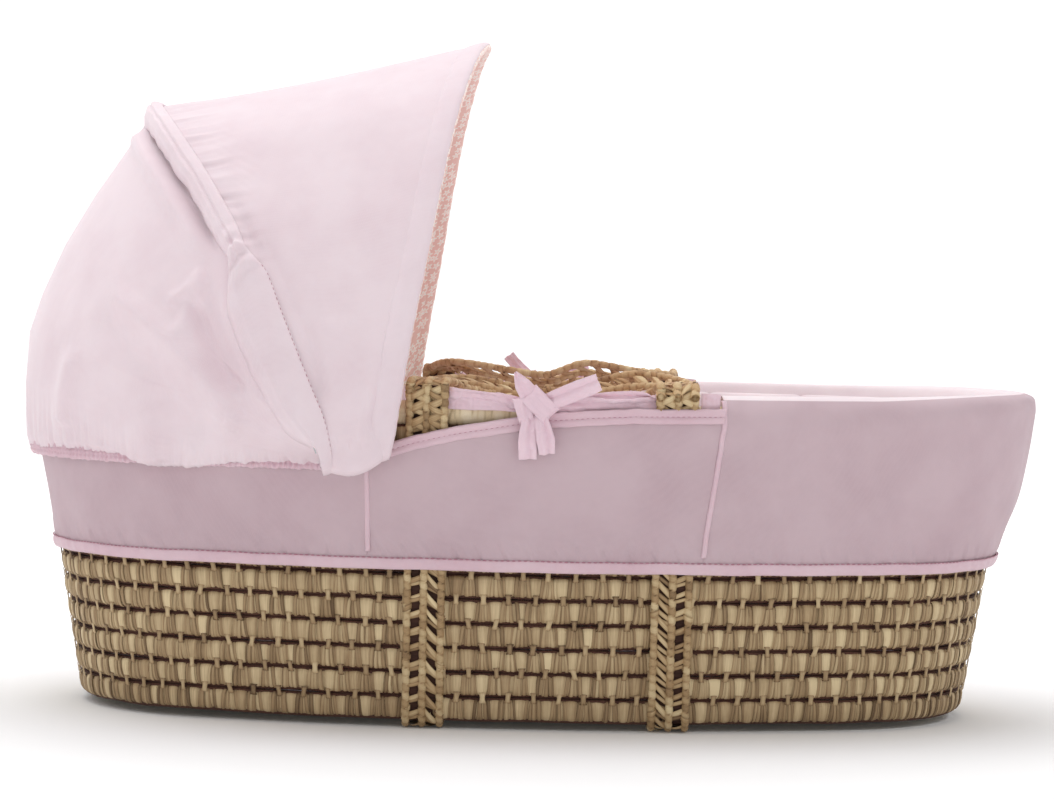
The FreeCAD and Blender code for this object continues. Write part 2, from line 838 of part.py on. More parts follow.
def hood_fabric():
    front = size("front_bow_angle").number
    middle = size("mid_bow_angle").number
    front_half = size("front_bow_half_width").number
    middle_half = size("mid_bow_half_width").number
    front_reach = size("front_bow_reach").number
    middle_reach = size("mid_bow_reach").number
    thick = size("canopy_thick").number
    out = size("canopy_offset").number + thick
    sag_angle = (front + middle) / 2
    seam = 0.6                # degrees between the two panels at the mid bow
    fabric_panel(
        "hood_front_panel",
        [
            (front, front_half + out, front_reach + out),
            (sag_angle, front_half + out - 4, middle_reach + out - 6),
            (middle - seam, middle_half + out, middle_reach + out),
        ],
        thick,
        size("canopy_foot").number,
    )
    rear_half = middle_half + out
    high_angle = size("rear_high_angle").number
    high_reach = size("rear_high_reach").number
    middle_angle = size("rear_middle_angle").number
    middle_rear_reach = size("rear_middle_reach").number
    inside = thick + size("lining_gap").number
    fabric_panel(
        "hood_rear_panel",
        [
            (middle + seam, rear_half, middle_reach + out),
            (high_angle, rear_half, high_reach),
            (middle_angle, rear_half, middle_rear_reach),
            (size("rear_low_angle").number, rear_half, size("rear_low_reach").number),
        ],
        thick,
        size("canopy_foot").number,
    )
    lining = size("lining_thick").number
    in_by = size("canopy_offset").number
    fabric_panel(
        "hood_front_lining",
        [
            (front, front_half - in_by, front_reach - in_by),
            (sag_angle, front_half - in_by - 4, middle_reach - in_by - 6),
            (middle - seam, middle_half - in_by, middle_reach - in_by),
        ],
        lining,
        size("lining_foot").number,
    )
    fabric_panel(
        "hood_rear_lining",
        [
            (middle + seam, middle_half - in_by, middle_reach - in_by),
            (high_angle, middle_half - in_by, high_reach - inside),
            (middle_angle, middle_half - in_by, middle_rear_reach - inside),
        ],
        lining,
        size("lining_foot").number,
    )


def elastic_hem():
    bottom = size("hem_bottom")
    section = skin_section(bottom, bottom + size("hem_tall"), size("hem_offset"), size("hem_thick"))
    name = "hood_elastic_hem"
    cutter = slice_box(name + "_slice", -length(FAR_AWAY), size("hem_front_at"))
    keep(name, common(name, skin_ring(name + "_ring", section), cutter))


woven_base()
woven_wall()
straps()
handle("handle_near", -1)
handle("handle_far", 1)
liner()
skirt()
ties()
mattress()
hood_clips()
hood_bow(
    "mid", size("mid_bow_half_width"), size("mid_bow_reach"), size("mid_bow_angle")
)
hood_bow(
    "front", size("front_bow_half_width"), size("front_bow_reach"), size("front_bow_angle")
)
hood_fabric()
elastic_hem()
doc.recompute()

# ---------------------------------------------------------------- checks and files

for item in doc.Objects:
    if "Invalid" in item.State or "Error" in item.State:
        raise RuntimeError(f"{item.Name} is {item.State}: {item.getStatusString()}")
for name, piece in nodes.items():
    if piece.Shape.isNull() or not piece.Shape.isValid() or piece.Shape.Volume <= 0:
        raise RuntimeError(f"{name} has no valid solid")

os.makedirs("parts", exist_ok=True)
for name, piece in nodes.items():
    piece.Shape.exportStep(f"parts/{name}.step")
    print(f"{name:26s} {len(piece.Shape.Solids)} solid(s) {piece.Shape.Volume / 1000:9.1f} cm3")
print(len(nodes), "nodes")
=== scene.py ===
"""The looks of a woven palm cradle with a pink cotton dressing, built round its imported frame.

Shapes are worked out in millimetres and turned into metres when a mesh is made.
"""
import math

import bpy
import numpy as np
from mathutils import Matrix, Vector


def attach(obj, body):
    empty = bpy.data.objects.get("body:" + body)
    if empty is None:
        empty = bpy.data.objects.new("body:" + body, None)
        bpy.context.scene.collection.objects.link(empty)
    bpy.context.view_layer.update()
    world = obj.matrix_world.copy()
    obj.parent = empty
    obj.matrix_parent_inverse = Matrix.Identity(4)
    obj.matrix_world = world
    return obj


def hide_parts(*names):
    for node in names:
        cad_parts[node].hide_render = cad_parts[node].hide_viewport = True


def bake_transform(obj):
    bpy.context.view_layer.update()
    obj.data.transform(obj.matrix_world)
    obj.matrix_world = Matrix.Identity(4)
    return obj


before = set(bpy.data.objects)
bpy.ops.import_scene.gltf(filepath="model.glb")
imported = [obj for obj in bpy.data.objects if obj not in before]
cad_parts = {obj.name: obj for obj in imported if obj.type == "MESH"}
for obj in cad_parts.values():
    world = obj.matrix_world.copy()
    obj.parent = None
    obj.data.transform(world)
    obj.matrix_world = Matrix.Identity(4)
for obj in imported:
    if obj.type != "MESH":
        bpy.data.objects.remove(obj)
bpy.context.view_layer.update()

MM = 0.001
SCENE = bpy.context.scene
rng = np.random.default_rng(41)

# The basket's outline, as in the frame: end arcs and side arcs with common centres.
END_CENTRE = 225.0
SIDE_CENTRE = 705.714
LENGTH_OVER_WIDTH = 190.0
FLOOR_HALF_LENGTH = 369.0
WALL_LEAN = 0.165
JOIN = math.atan2(SIDE_CENTRE, END_CENTRE)
MEAN_HALF_LENGTH = 395.0

# ------------------------------------------------------------------ shader help


def shader_of(material):
    return material.node_tree.nodes["Principled BSDF"]


def new_material(name, **numbers):
    """A Principled material. The numbers are set on the shader's own sockets."""
    material = bpy.data.materials.new(name)
    material.use_nodes = True
    for socket, value in numbers.items():
        shader_of(material).inputs[socket.replace("_", " ")].default_value = value
    return material


def node(owner, kind, **settings):
    """A node of a material or world, with its own settings and its sockets' values."""
    made = owner.node_tree.nodes.new(kind)
    for key, value in settings.items():
        if hasattr(made, key):
            setattr(made, key, value)
        else:
            made.inputs[key.replace("_", " ")].default_value = value
    return made


def link(owner, source, target):
    owner.node_tree.links.new(source, target)


def put(owner, value, socket):
    """Gives a socket a value, or links it to another node's socket."""
    if isinstance(value, bpy.types.NodeSocket):
        link(owner, value, socket)
    else:
        socket.default_value = value


def colour(text, alpha=1.0):
    """A linear colour from six sRGB hex digits."""
    parts = [int(text[i : i + 2], 16) / 255 for i in (0, 2, 4)]
    linear = [p / 12.92 if p <= 0.04045 else ((p + 0.055) / 1.055) ** 2.4 for p in parts]
    return (*linear, alpha)


def ramp(material, factor, stops):
    """A colour ramp on a factor. Stops are (place, colour)."""
    made = node(material, "ShaderNodeValToRGB")
    elements = made.color_ramp.elements
    while len(elements) < len(stops):
        elements.new(0.5)
    for element, (place, paint) in zip(elements, stops):
        element.position = place
        element.color = paint
    link(material, factor, made.inputs["Fac"])
    return made.outputs["Color"]


def maths(material, operation, *values):
    made = node(material, "ShaderNodeMath", operation=operation)
    for socket, value in zip(made.inputs, values):
        put(material, value, socket)
    return made.outputs["Value"]


# The mix node's sockets for colours: its factor, its two colours and its result.
MIX_SOCKETS = (0, 6, 7)
MIX_RESULT = 2


def mix_colour(material, *values):
    made = node(material, "ShaderNodeMix", data_type="RGBA")
    for place, value in zip(MIX_SOCKETS, values):
        put(material, value, made.inputs[place])
    return made.outputs[MIX_RESULT]


def bump(material, height, strength, distance):
    made = node(material, "ShaderNodeBump", Strength=strength, Distance=distance)
    link(material, height, made.inputs["Height"])
    link(material, made.outputs["Normal"], shader_of(material).inputs["Normal"])


def own_noise(material, **settings):
    """Noise that stays with the object when it moves."""
    made = node(material, "ShaderNodeTexNoise", **settings)
    link(material, node(material, "ShaderNodeTexCoord").outputs["Object"], made.inputs["Vector"])
    return made.outputs["Fac"]


def palm_material(name, dark, middle, pale, streak=0.5, roughness=0.58):
    """Dried palm strip: fibre streaks along it and a tone for each strip. The tones it reads also hold
    painted shade: darker at strip edges, ends and creases.
    """
    material = new_material(name, Roughness=roughness, Specular_IOR_Level=0.32)
    uv = node(material, "ShaderNodeUVMap", uv_map="UVMap")
    stretch = node(material, "ShaderNodeMapping", vector_type="POINT", Scale=(1.7, 0.045, 1.0))
    link(material, uv.outputs["UV"], stretch.inputs["Vector"])
    fibres = node(material, "ShaderNodeTexNoise", Scale=1.6, Detail=4.0, Roughness=0.6)
    link(material, stretch.outputs["Vector"], fibres.inputs["Vector"])
    blotches = own_noise(material, Scale=38.0, Detail=3.0, Roughness=0.55)
    total = node(material, "ShaderNodeAttribute", attribute_name="tone").outputs["Fac"]
    for spots, strength in ((fibres.outputs["Fac"], streak), (blotches, 0.34)):
        centred = maths(material, "MULTIPLY_ADD", spots, strength, -strength / 2)
        total = maths(material, "ADD", total, centred)
    paint = ramp(material, total, [(0.0, colour(dark)), (0.42, colour(middle)), (0.95, colour(pale))])
    link(material, paint, shader_of(material).inputs["Base Color"])
    bump(material, fibres.outputs["Fac"], 0.55, 0.0006)
    return material


def cotton_material(name, paint, shade, sheen=0.25, crease=0.35):
    """Plain cotton: crossed threads, faint slubs and soft creases."""
    paint, shade = colour(paint), colour(shade)
    material = new_material(
        name, Roughness=0.82, Specular_IOR_Level=0.22, Sheen_Weight=sheen, Sheen_Roughness=0.45,
        Subsurface_Weight=0.08, Subsurface_Radius=(0.012, 0.006, 0.005), Subsurface_Scale=0.35,
    )
    thread_waves = 1500.0 / 6.28
    place = node(material, "ShaderNodeTexCoord")
    threads = []
    for turn in (0.0, math.pi / 2):
        turned = node(material, "ShaderNodeMapping", vector_type="POINT", Rotation=(0.0, 0.35, turn))
        link(material, place.outputs["Object"], turned.inputs["Vector"])
        wave = node(material, "ShaderNodeTexWave", Scale=thread_waves, Distortion=1.2, Detail=1.0)
        link(material, turned.outputs["Vector"], wave.inputs["Vector"])
        threads.append(wave.outputs["Fac"])
    weave = maths(material, "MULTIPLY", *threads)
    slubs = own_noise(material, Scale=16.0, Detail=5.0, Roughness=0.6)
    creases = own_noise(material, Scale=7.0, Detail=2.0, Roughness=0.5, Distortion=0.6)
    soft = ramp(material, slubs, [(0.28, shade), (0.62, paint)])
    threaded = mix_colour(material, maths(material, "MULTIPLY", weave, 0.4), soft, paint)
    link(material, threaded, shader_of(material).inputs["Base Color"])
    crumple = maths(material, "MULTIPLY", creases, crease)
    bump(material, maths(material, "MULTIPLY_ADD", weave, 0.025, crumple), 0.35, 0.004)
    return material


def hard_material(name, paint, dark, roughness, metallic, size):
    """Plastic or metal with a faint grain."""
    material = new_material(name, Roughness=roughness, Metallic=metallic)
    grain = own_noise(material, Scale=size, Detail=4.0, Roughness=0.6)
    tint = ramp(material, grain, [(0.3, dark), (0.65, paint)])
    link(material, tint, shader_of(material).inputs["Base Color"])
    bump(material, grain, 0.15, 0.0004)
    return material


def darker(paint, share=0.86):
    return tuple(part * share for part in paint[:3]) + (1.0,)


def lining_material():
    """Peach-pink cotton printed all over with small pale stars. It also glows faintly in the print's colours:
    painted light.
    """
    material = new_material(
        "star_lining", Roughness=0.85, Specular_IOR_Level=0.2, Sheen_Weight=0.2, Emission_Strength=0.13,
    )
    uv = node(material, "ShaderNodeUVMap", uv_map="UVMap").outputs["UV"]
    cells = node(
        material, "ShaderNodeTexVoronoi", voronoi_dimensions="2D", feature="F1", Scale=0.135, Randomness=0.55,
    )
    link(material, uv, cells.inputs["Vector"])
    local = node(material, "ShaderNodeVectorMath", operation="SUBTRACT")
    link(material, uv, local.inputs[0])
    link(material, cells.outputs["Position"], local.inputs[1])
    split = node(material, "ShaderNodeSeparateXYZ")
    link(material, local.outputs["Vector"], split.inputs["Vector"])
    angle = maths(material, "ARCTAN2", split.outputs["Y"], split.outputs["X"])
    random = node(material, "ShaderNodeSeparateColor")
    link(material, cells.outputs["Color"], random.inputs["Color"])
    spin = maths(material, "MULTIPLY", random.outputs["Red"], 6.28)
    turned = maths(material, "ADD", maths(material, "MULTIPLY", angle, 5.0), spin)
    points = maths(material, "MULTIPLY_ADD", maths(material, "COSINE", turned), 0.36, 1.0)
    reach = node(material, "ShaderNodeVectorMath", operation="LENGTH")
    link(material, local.outputs["Vector"], reach.inputs[0])
    measure = maths(material, "MULTIPLY", reach.outputs["Value"], points)
    star_tone, core_tone = 11 / 12, 0.45
    star_size, core_size = 2.35, 1.05
    star = maths(material, "MULTIPLY", maths(material, "LESS_THAN", measure, star_size), star_tone)
    core = maths(material, "MULTIPLY", maths(material, "LESS_THAN", measure, core_size), core_tone)
    paint = mix_colour(material, maths(material, "SUBTRACT", star, core), colour("EAC6BE"), colour("FBF3EE"))
    link(material, paint, shader_of(material).inputs["Base Color"])
    # Painted light: the print's colours also feed a faint glow.
    link(material, paint, shader_of(material).inputs["Emission Color"])
    bump(material, own_noise(material, Scale=900.0, Detail=2.0, Roughness=0.6), 0.2, 0.0008)
    return material


PALM = palm_material("woven_palm", "5E4830", "A68B68", "E0CBA2", 0.7)
BASE_PALM = palm_material("woven_base", "665539", "9C8A65", "C8BA90")
RIM_PALM = palm_material("rim_palm", "AA9270", "E4D0AC", "F8ECD4", 0.5, 0.5)
STRAP_PALM = palm_material("strap_palm", "5C442C", "AC8E67", "E2CEA4", 0.6)
HANDLE_PALM = palm_material("handle_palm", "80573A", "C29C72", "E8D3A8", 0.5)
# The core's dark browns are painted shade. The cores fill the gaps between courses and the space behind the
# straps' holes, where only shadow shows.
PAINTED_SHADE_CORE = palm_material("palm_core_painted_shade", "3A241D", "664437", "83604E", 0.6, 0.8)
HOOD_COTTON = cotton_material("hood_cotton", "ECDAE0", "E4CFD6")
# The skirt's pink is darker than the hood's. A little of that is the cloth's own deeper pink; the rest is
# painted shade for its sides, which lean to face downward.
SKIRT_COTTON = cotton_material("skirt_cotton", "CBB4BB", "C0A7AF", sheen=0.08)
HEM_COTTON = cotton_material("hem_cotton", "DFC3CC", "D6B5C0", crease=0.15)
RIBBON_COTTON = cotton_material("ribbon_cotton", "EBD0DA", "E3C4D0", crease=0.1)
LINER_COTTON = cotton_material("liner_cotton", "F4E6EA", "EEDCE2")
MATTRESS_COTTON = cotton_material("mattress_cotton", "E2D6D8", "D8CACC")
STAR_LINING = lining_material()
THREAD = new_material("thread", Roughness=0.7, Sheen_Weight=0.2, Base_Color=colour("B87F90"))
BOW_WIRE = hard_material("bow_wire", colour("C4C6C9"), colour("A9ABAE"), 0.34, 1.0, 160.0)
CLIP_PAINT, PIN_PAINT = colour("E7E2DA"), colour("C9CACC")
CLIP_PLASTIC = hard_material("clip_plastic", CLIP_PAINT, darker(CLIP_PAINT), 0.42, 0.0, 420.0)
PIN_STEEL = hard_material("pin_steel", PIN_PAINT, darker(PIN_PAINT), 0.3, 1.0, 240.0)

# ------------------------------------------------------------------ mesh help


def make_piece(name, points, faces, material, uv=None, tones=None):
    """A smooth mesh of four-sided faces, from points in millimetres."""
    mesh = bpy.data.meshes.new(name)
    points = np.asarray(points, float).reshape(-1, 3)
    faces = np.asarray(faces, np.int32).reshape(-1, 4)
    mesh.vertices.add(len(points))
    mesh.vertices.foreach_set("co", (points * MM).astype(np.float32).ravel())
    mesh.loops.add(faces.size)
    mesh.loops.foreach_set("vertex_index", faces.ravel())
    mesh.polygons.add(len(faces))
    mesh.polygons.foreach_set("loop_start", np.arange(0, faces.size, 4, dtype=np.int32))
    mesh.polygons.foreach_set("use_smooth", np.ones(len(faces), bool))
    if uv is not None:
        layer = mesh.uv_layers.new(name="UVMap")
        spread = np.asarray(uv, np.float32).reshape(-1, 2)[faces.ravel()]
        layer.data.foreach_set("uv", spread.ravel())
    if tones is not None:
        attribute = mesh.attributes.new("tone", "FLOAT", "POINT")
        attribute.data.foreach_set("value", np.asarray(tones, np.float32))
    mesh.update(calc_edges=True)
    mesh.validate()
    mesh.materials.append(material)
    made = bpy.data.objects.new(name, mesh)
    SCENE.collection.objects.link(made)
    return made


def declare(made, body=None, nodes=()):
    """Says what a piece rides on and what it replaces."""
    if body:
        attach(made, body)
    if nodes:
        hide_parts(*nodes)
    return made


def grid_faces(rows, columns, round_rows=False, round_columns=False):
    """Faces of a grid whose point (r, c) has the number r * columns + c."""
    last_row = rows if round_rows else rows - 1
    last_column = columns if round_columns else columns - 1
    r, c = np.meshgrid(np.arange(last_row), np.arange(last_column), indexing="ij")
    below = (r + 1) % rows
    beside = (c + 1) % columns
    faces = np.stack(
        [r * columns + c, r * columns + beside, below * columns + beside, below * columns + c], -1
    )
    return faces.reshape(-1, 4)


def many_faces(count, rows, columns, round_rows=False, round_columns=False):
    """The faces of many equal grids that follow each other."""
    one = grid_faces(rows, columns, round_rows, round_columns)
    starts = np.arange(count)[:, None, None] * rows * columns
    return (one[None] + starts).reshape(-1, 4)


def smooth_step(value, low=0.0, high=1.0):
    t = np.clip((np.asarray(value, float) - low) / (high - low), 0.0, 1.0)
    return t * t * (3 - 2 * t)


def bell(value, middle, spread):
    return np.exp(-(((np.asarray(value, float) - middle) / spread) ** 2))


def slow_wave(value, seed, size=1.0):
    """A smooth random number from -1 to 1 along a line."""
    value = np.asarray(value, float) / size
    total = np.zeros_like(value)
    for step in range(5):
        turn = math.sin(seed * 12.9898 + step * 78.233) * 43758.5453
        phase = (turn - math.floor(turn)) * 2 * math.pi
        total += np.sin(value * (0.7 + 0.61 * step) * 2 * math.pi + phase) / (1.6 + step * 0.6)
    return total / 1.9


def stacked(*arrays):
    """Arrays of fitting shapes as the last axis of one."""
    return np.stack(np.broadcast_arrays(*arrays), -1)


def unit(vectors):
    return vectors / (np.linalg.norm(vectors, axis=-1, keepdims=True) + 1e-9)


def square_to(vectors, direction):
    """The part of each vector that is square to a direction."""
    return vectors - direction * np.sum(vectors * direction, -1)[..., None]


def way_along(points):
    """The distance along a line from its first point to each of its points."""
    steps = np.linalg.norm(np.diff(points, axis=0), axis=-1)
    return np.concatenate([[0], np.cumsum(steps)])


def read_line(points, places, wanted):
    """Points between a line's own points, which are at the given places."""
    return stacked(*(np.interp(wanted, places, column) for column in points.T))


def spread(values):
    """One value for each strip, shaped to go with the grids of all the strips."""
    return np.asarray(values, float)[:, None, None]


# ------------------------------------------------------------------ the oval


def wall_outer(height):
    return FLOOR_HALF_LENGTH + WALL_LEAN * np.asarray(height, float)


def lap_tables():
    end = JOIN * (MEAN_HALF_LENGTH - END_CENTRE)
    side = (math.pi - 2 * JOIN) * (MEAN_HALF_LENGTH - LENGTH_OVER_WIDTH + SIDE_CENTRE)
    steps = [0, end, side, 2 * end, side, end]
    turns = [0, JOIN, math.pi - 2 * JOIN, 2 * JOIN, math.pi - 2 * JOIN, JOIN]
    return np.cumsum(steps), np.cumsum(turns)


LAP_LENGTHS, LAP_ANGLES = lap_tables()
LAP = LAP_LENGTHS[-1]


def oval_at(along, half_length):
    """Points x, y and outward directions, at a way along the lap from the foot end's middle."""
    along, half_length = np.broadcast_arrays(np.asarray(along, float), np.asarray(half_length, float))
    angle = np.interp(np.mod(along, LAP), LAP_LENGTHS, LAP_ANGLES)
    nx, ny = np.cos(angle), np.sin(angle)
    on_side = np.abs(nx) < math.cos(JOIN)
    reach = np.where(on_side, half_length - LENGTH_OVER_WIDTH + SIDE_CENTRE, half_length - END_CENTRE)
    cx = np.where(on_side, 0.0, np.sign(nx) * END_CENTRE)
    cy = np.where(on_side, -np.sign(ny) * SIDE_CENTRE, 0.0)
    return cx + nx * reach, cy + ny * reach, nx, ny


def on_oval(along, height, half_length):
    x, y, _, _ = oval_at(along, half_length)
    return stacked(x, y, height)


def half_width_at(across, half_length):
    """How far the oval's side is from the middle line, near the middle of its length."""
    return np.sqrt((half_length - LENGTH_OVER_WIDTH + SIDE_CENTRE) ** 2 - across**2) - SIDE_CENTRE


def along_at(x, side):
    """The way along the lap where the oval has this x on one side, in its side arcs or ends."""
    laps = np.linspace(0, LAP, 4001)
    px, py, _, _ = oval_at(laps, 400.0)
    right = py * side >= 0
    order = np.argsort(px[right])
    return float(np.interp(x, px[right][order], laps[right][order]))


# ------------------------------------------------------------------ woven courses

TIES = 94                     # stitches round one course
COURSES = 12
STITCHED_COURSES = 7          # the skirt hides the courses above these
FIRST_COURSE_HEIGHT = 16.5
COURSE_STEP = 19.83
STRIP_ROWS = 9
STRIP_ACROSS = np.array([-1.0, -0.4, 0.4, 1.0])
PITCH = LAP / TIES

# One stitch of the pattern, in shares of a pitch: (top, bottom, width at top, at bottom, tone).
PATTERN = [
    (-0.075, -0.190, 0.085, 0.190, 0.50),
    (0.000, 0.000, 0.085, 0.200, 0.58),
    (0.075, 0.190, 0.085, 0.190, 0.50),
    (0.500, 0.500, 0.500, 0.250, 0.74),
    (0.185, 0.330, 0.160, 0.130, 0.40),
    (-0.185, -0.330, 0.160, 0.130, 0.44),
]


def course_strips(count, shift, place, wrap=105.0, tone_lift=0.0):
    """Strips laid over one course. place(along, angle, lift) gives points."""
    tops, bottoms, wide_tops, wide_bottoms, pattern_tones = np.array(PATTERN).T
    pitch = LAP / count
    starts = (np.arange(count) + shift)[:, None] * pitch
    top = (starts + tops * pitch).ravel()
    bottom = (starts + bottoms * pitch).ravel()
    total = len(top)
    jitter = rng.normal(0, 0.035, total) * pitch
    jitter_low = rng.normal(0, 0.035, total) * pitch
    widths = rng.uniform(0.9, 1.14, total)
    lift = rng.normal(0.0, 0.32, total)
    bend = rng.normal(0.0, 0.03, total) * pitch
    tone = np.tile(pattern_tones, count) + rng.normal(0, 0.10, total) + tone_lift
    down = np.linspace(0, 1, STRIP_ROWS)[None, :, None]
    across = np.array([-1.0, -0.35, 0.35, 1.0])
    middle = spread(top + jitter) * (1 - down) + spread(bottom + jitter_low) * down
    wide_top = spread(np.tile(wide_tops, count) * pitch)
    wide_bottom = spread(np.tile(wide_bottoms, count) * pitch)
    wide = wide_top * (1 - down) + wide_bottom * down
    along = middle + spread(bend) * np.sin(down * math.pi) + across * wide * spread(widths) / 2
    crown = 0.62 * (1 - across**2) * np.minimum(1.0, wide / 3.0)
    angle = np.radians(wrap) * (1 - 2 * down)
    uv = stacked(across * 1.6 + spread(np.arange(total) * 7.31), down * 22.0 + spread(jitter) * 9)
    # Painted shade: each strip is darker at its edges and toward its top and bottom, where it runs into the
    # gaps.
    crease = 0.20 * (np.abs(across) > 0.9) + 0.30 * np.abs(1 - 2 * down) ** 3
    points = place(along, angle, spread(lift) + crown)
    return points, uv, spread(tone) - crease, many_faces(total, STRIP_ROWS, 4)


def joined(parts):
    """Several (points, uv, tones, faces) as one. A part's tones are an array or one number."""
    shift = 0
    points, uvs, tones, faces = [], [], [], []
    for part_points, part_uv, part_tones, part_faces in parts:
        flat = np.asarray(part_points).reshape(-1, 3)
        points.append(flat)
        uvs.append(part_uv.reshape(-1, 2))
        tones.append(np.broadcast_to(np.ravel(part_tones), len(flat)))
        faces.append(part_faces + shift)
        shift += len(flat)
    return [np.concatenate(each) for each in (points, uvs, tones, faces)]


def section_point(angle, half_thick, half_tall, power=0.72):
    """A flattened round section: out and up from its middle."""
    c, s = np.cos(angle), np.sin(angle)
    return half_thick * np.sign(c) * np.abs(c) ** power, half_tall * np.sign(s) * np.abs(s) ** power


def palm_piece(name, parts, material, nodes=(), body="basket"):
    points, uv, tones, faces = joined(parts)
    declare(make_piece(name, points, faces, material, uv, tones), body, nodes)


def course_skin(place):
    """Fine flattened strip ends that fill the space between the wider strips."""
    rows, columns = 9, 1000
    along = np.linspace(0, LAP, columns, endpoint=False)
    down = np.linspace(0, 1, rows)[:, None]
    angle = np.radians(92.0) * (1 - 2 * down)
    fine = np.abs(np.sin(along / 2.9 * math.pi + 0.9 * slow_wave(along, 6.0, 17.0)))
    lift = -0.75 + 0.55 * fine + 0.15 * slow_wave(along, 7.0, 5.0)
    # Painted light and shade: the tone is lighter where the strips stand out and darker toward the course's
    # top and bottom.
    tones = 0.40 + 0.16 * fine + 0.14 * slow_wave(along, 8.0, 7.0) - 0.25 * np.abs(1 - 2 * down) ** 3
    uv = stacked(along * 1.6, down * 22.0)
    return place(along, angle, lift), uv, tones, grid_faces(rows, columns, False, True)


def course_core(place, rows=180):
    """The middle of a course, seen between its strips. Its dark colour is painted shade for the gaps."""
    columns = 12
    along = np.linspace(0, LAP, rows, endpoint=False)[:, None]
    angle = np.linspace(0, 2 * math.pi, columns, endpoint=False)
    faces = grid_faces(rows, columns, True, True)
    return place(along, angle, -1.2), stacked(along * 0.3, angle * 8.0), 0.2, faces


def wall_course(number):
    """One bound course: strips over a core painted dark as shade, and stitches to the course above where it
    shows.
    """
    height = FIRST_COURSE_HEIGHT + COURSE_STEP * number
    sway = number * 3.7

    def wander(along):
        return 0.8 * slow_wave(along, sway + 1, 190.0)

    def place(along, angle, lift):
        out, up = section_point(angle, 5.0 + lift, 8.5 + 0.55 * lift)
        breathe = 0.5 * slow_wave(along, sway + 2, 75.0)
        level = height + up + wander(along)
        return on_oval(along, level, wall_outer(level) - 5.0 + out + breathe)

    def place_core(along, angle, _):
        out, up = section_point(angle, 3.1, 10.05)
        level = height + up + wander(along)
        return on_oval(along, level, wall_outer(level) - 4.6 + out)

    shift = 0.5 * (number % 2)
    tone_lift = -0.12 if number == 0 else 0.0
    parts = [course_strips(TIES, shift, place, tone_lift=tone_lift), course_skin(place)]
    if number < STITCHED_COURSES:
        parts.append(stitches(height, shift, wander))
    label = f"{number + 1:02d}"
    palm_piece(f"wall_weave_{label}", parts, PALM, [f"wall_course_{label}"])
    palm_piece(f"wall_core_{label}", [course_core(place_core)], PAINTED_SHADE_CORE)


def stitches(height, shift, wander):
    """Short stitches that bind a course to the next one up."""
    rows = 7
    middles = (np.arange(TIES) + shift + rng.normal(0, 0.03, TIES)) * PITCH
    wide = rng.uniform(4.2, 5.4, TIES)
    lean = rng.normal(0, 0.5, TIES)
    down = np.linspace(-1, 1, rows)[None, :, None]
    across = STRIP_ACROSS
    waist = 0.78 + 0.45 * down**2
    along = spread(middles) + across * spread(wide) / 2 * waist + spread(lean) * down
    level = height + COURSE_STEP / 2 - 0.015 - down * 4.4 + wander(along)
    dip = 0.5 * (1 - down**2) - 0.7 * (1 - across**2)
    out = wall_outer(level) + 0.55 - dip - 1.2 * np.abs(down) ** 6
    uv = stacked(across * 1.6 + spread(np.arange(TIES) * 5.17), down * 7.0)
    tone = 0.56 + rng.normal(0, 0.12, TIES)
    # Painted shade: each stitch is darker at its edges and ends.
    tones = spread(tone) - 0.25 * (np.abs(across) > 0.9) - 0.25 * np.abs(down) ** 4
    return on_oval(along, level, out), uv, tones, many_faces(TIES, rows, 4)


for course in range(COURSES):
    wall_course(course)

BASE_THICK = 9.0
BASE_LEVEL = 7.0 + BASE_THICK / 2
BASE_RINGS = 7
RING_STEP = 19.5
OUTER_RING_HALF_LENGTH = 351.5


def base_section(angle, lift, half_wide):
    return section_point(angle, half_wide + lift * 0.5, BASE_THICK / 2 - 0.5 + lift * 0.6, 0.8)


def base_strips(count, shift, place):
    return course_strips(count, shift, place, 178.0, -0.08)


def base_ring(ring):
    """One of the concentric courses of the underside."""
    half_length = OUTER_RING_HALF_LENGTH - RING_STEP * ring

    def place(along, angle, lift):
        side, up = base_section(angle, lift, 9.1)
        return on_oval(along, BASE_LEVEL + up, half_length + side)

    count = max(24, int(TIES * (half_length - 120) / 270))
    node_name = f"base_course_{ring + 1}" if ring < BASE_RINGS - 1 else "base_core"
    strips = base_strips(count, 0.5 * (ring % 2), place)
    palm_piece(f"base_weave_{ring + 1}", [strips], BASE_PALM, [node_name])
    # The ring's core is painted dark as shade between the rings.
    palm_piece(f"base_weave_core_{ring + 1}", [course_core(place, 120)], PAINTED_SHADE_CORE)


def base_row(y, reach):
    """One of the straight courses in the middle of the underside."""

    def place(along, angle, lift):
        x = (along / LAP * 2 - 1) * reach
        side, up = base_section(angle, lift, 9.3)
        taper = np.sqrt(np.clip(1 - (np.abs(x) / (reach + 6)) ** 6, 0.05, 1))
        return stacked(x, y + side * taper, BASE_LEVEL + up * taper)

    return base_strips(int(reach / 9), 0.5, place)


for ring in range(BASE_RINGS):
    base_ring(ring)
middle_rows = [base_row(y, reach) for y, reach in ((0.0, 206.0), (19.4, 150.0), (-19.4, 150.0))]
palm_piece("base_weave_middle", middle_rows, BASE_PALM)

# ------------------------------------------------------------------ wrapped tubes and braids


class Track:
    """A line with a direction across it and one out of it, sampled closely."""

    def __init__(self, points, across):
        self.points = np.asarray(points, float)
        self.along = way_along(self.points)
        self.length = float(self.along[-1])
        tangent = unit(np.gradient(self.points, axis=0))
        self.across = unit(square_to(np.asarray(across, float), tangent))
        self.out = np.cross(self.across, tangent)

    def at(self, along, side, lift):
        """Points at a way along the line, moved across it and out of it."""
        along, side, lift = np.broadcast_arrays(along, side, lift)
        point = read_line(self.points, self.along, along)
        across = read_line(self.across, self.along, along)
        out = read_line(self.out, self.along, along)
        return point + across * side[..., None] + out * lift[..., None]


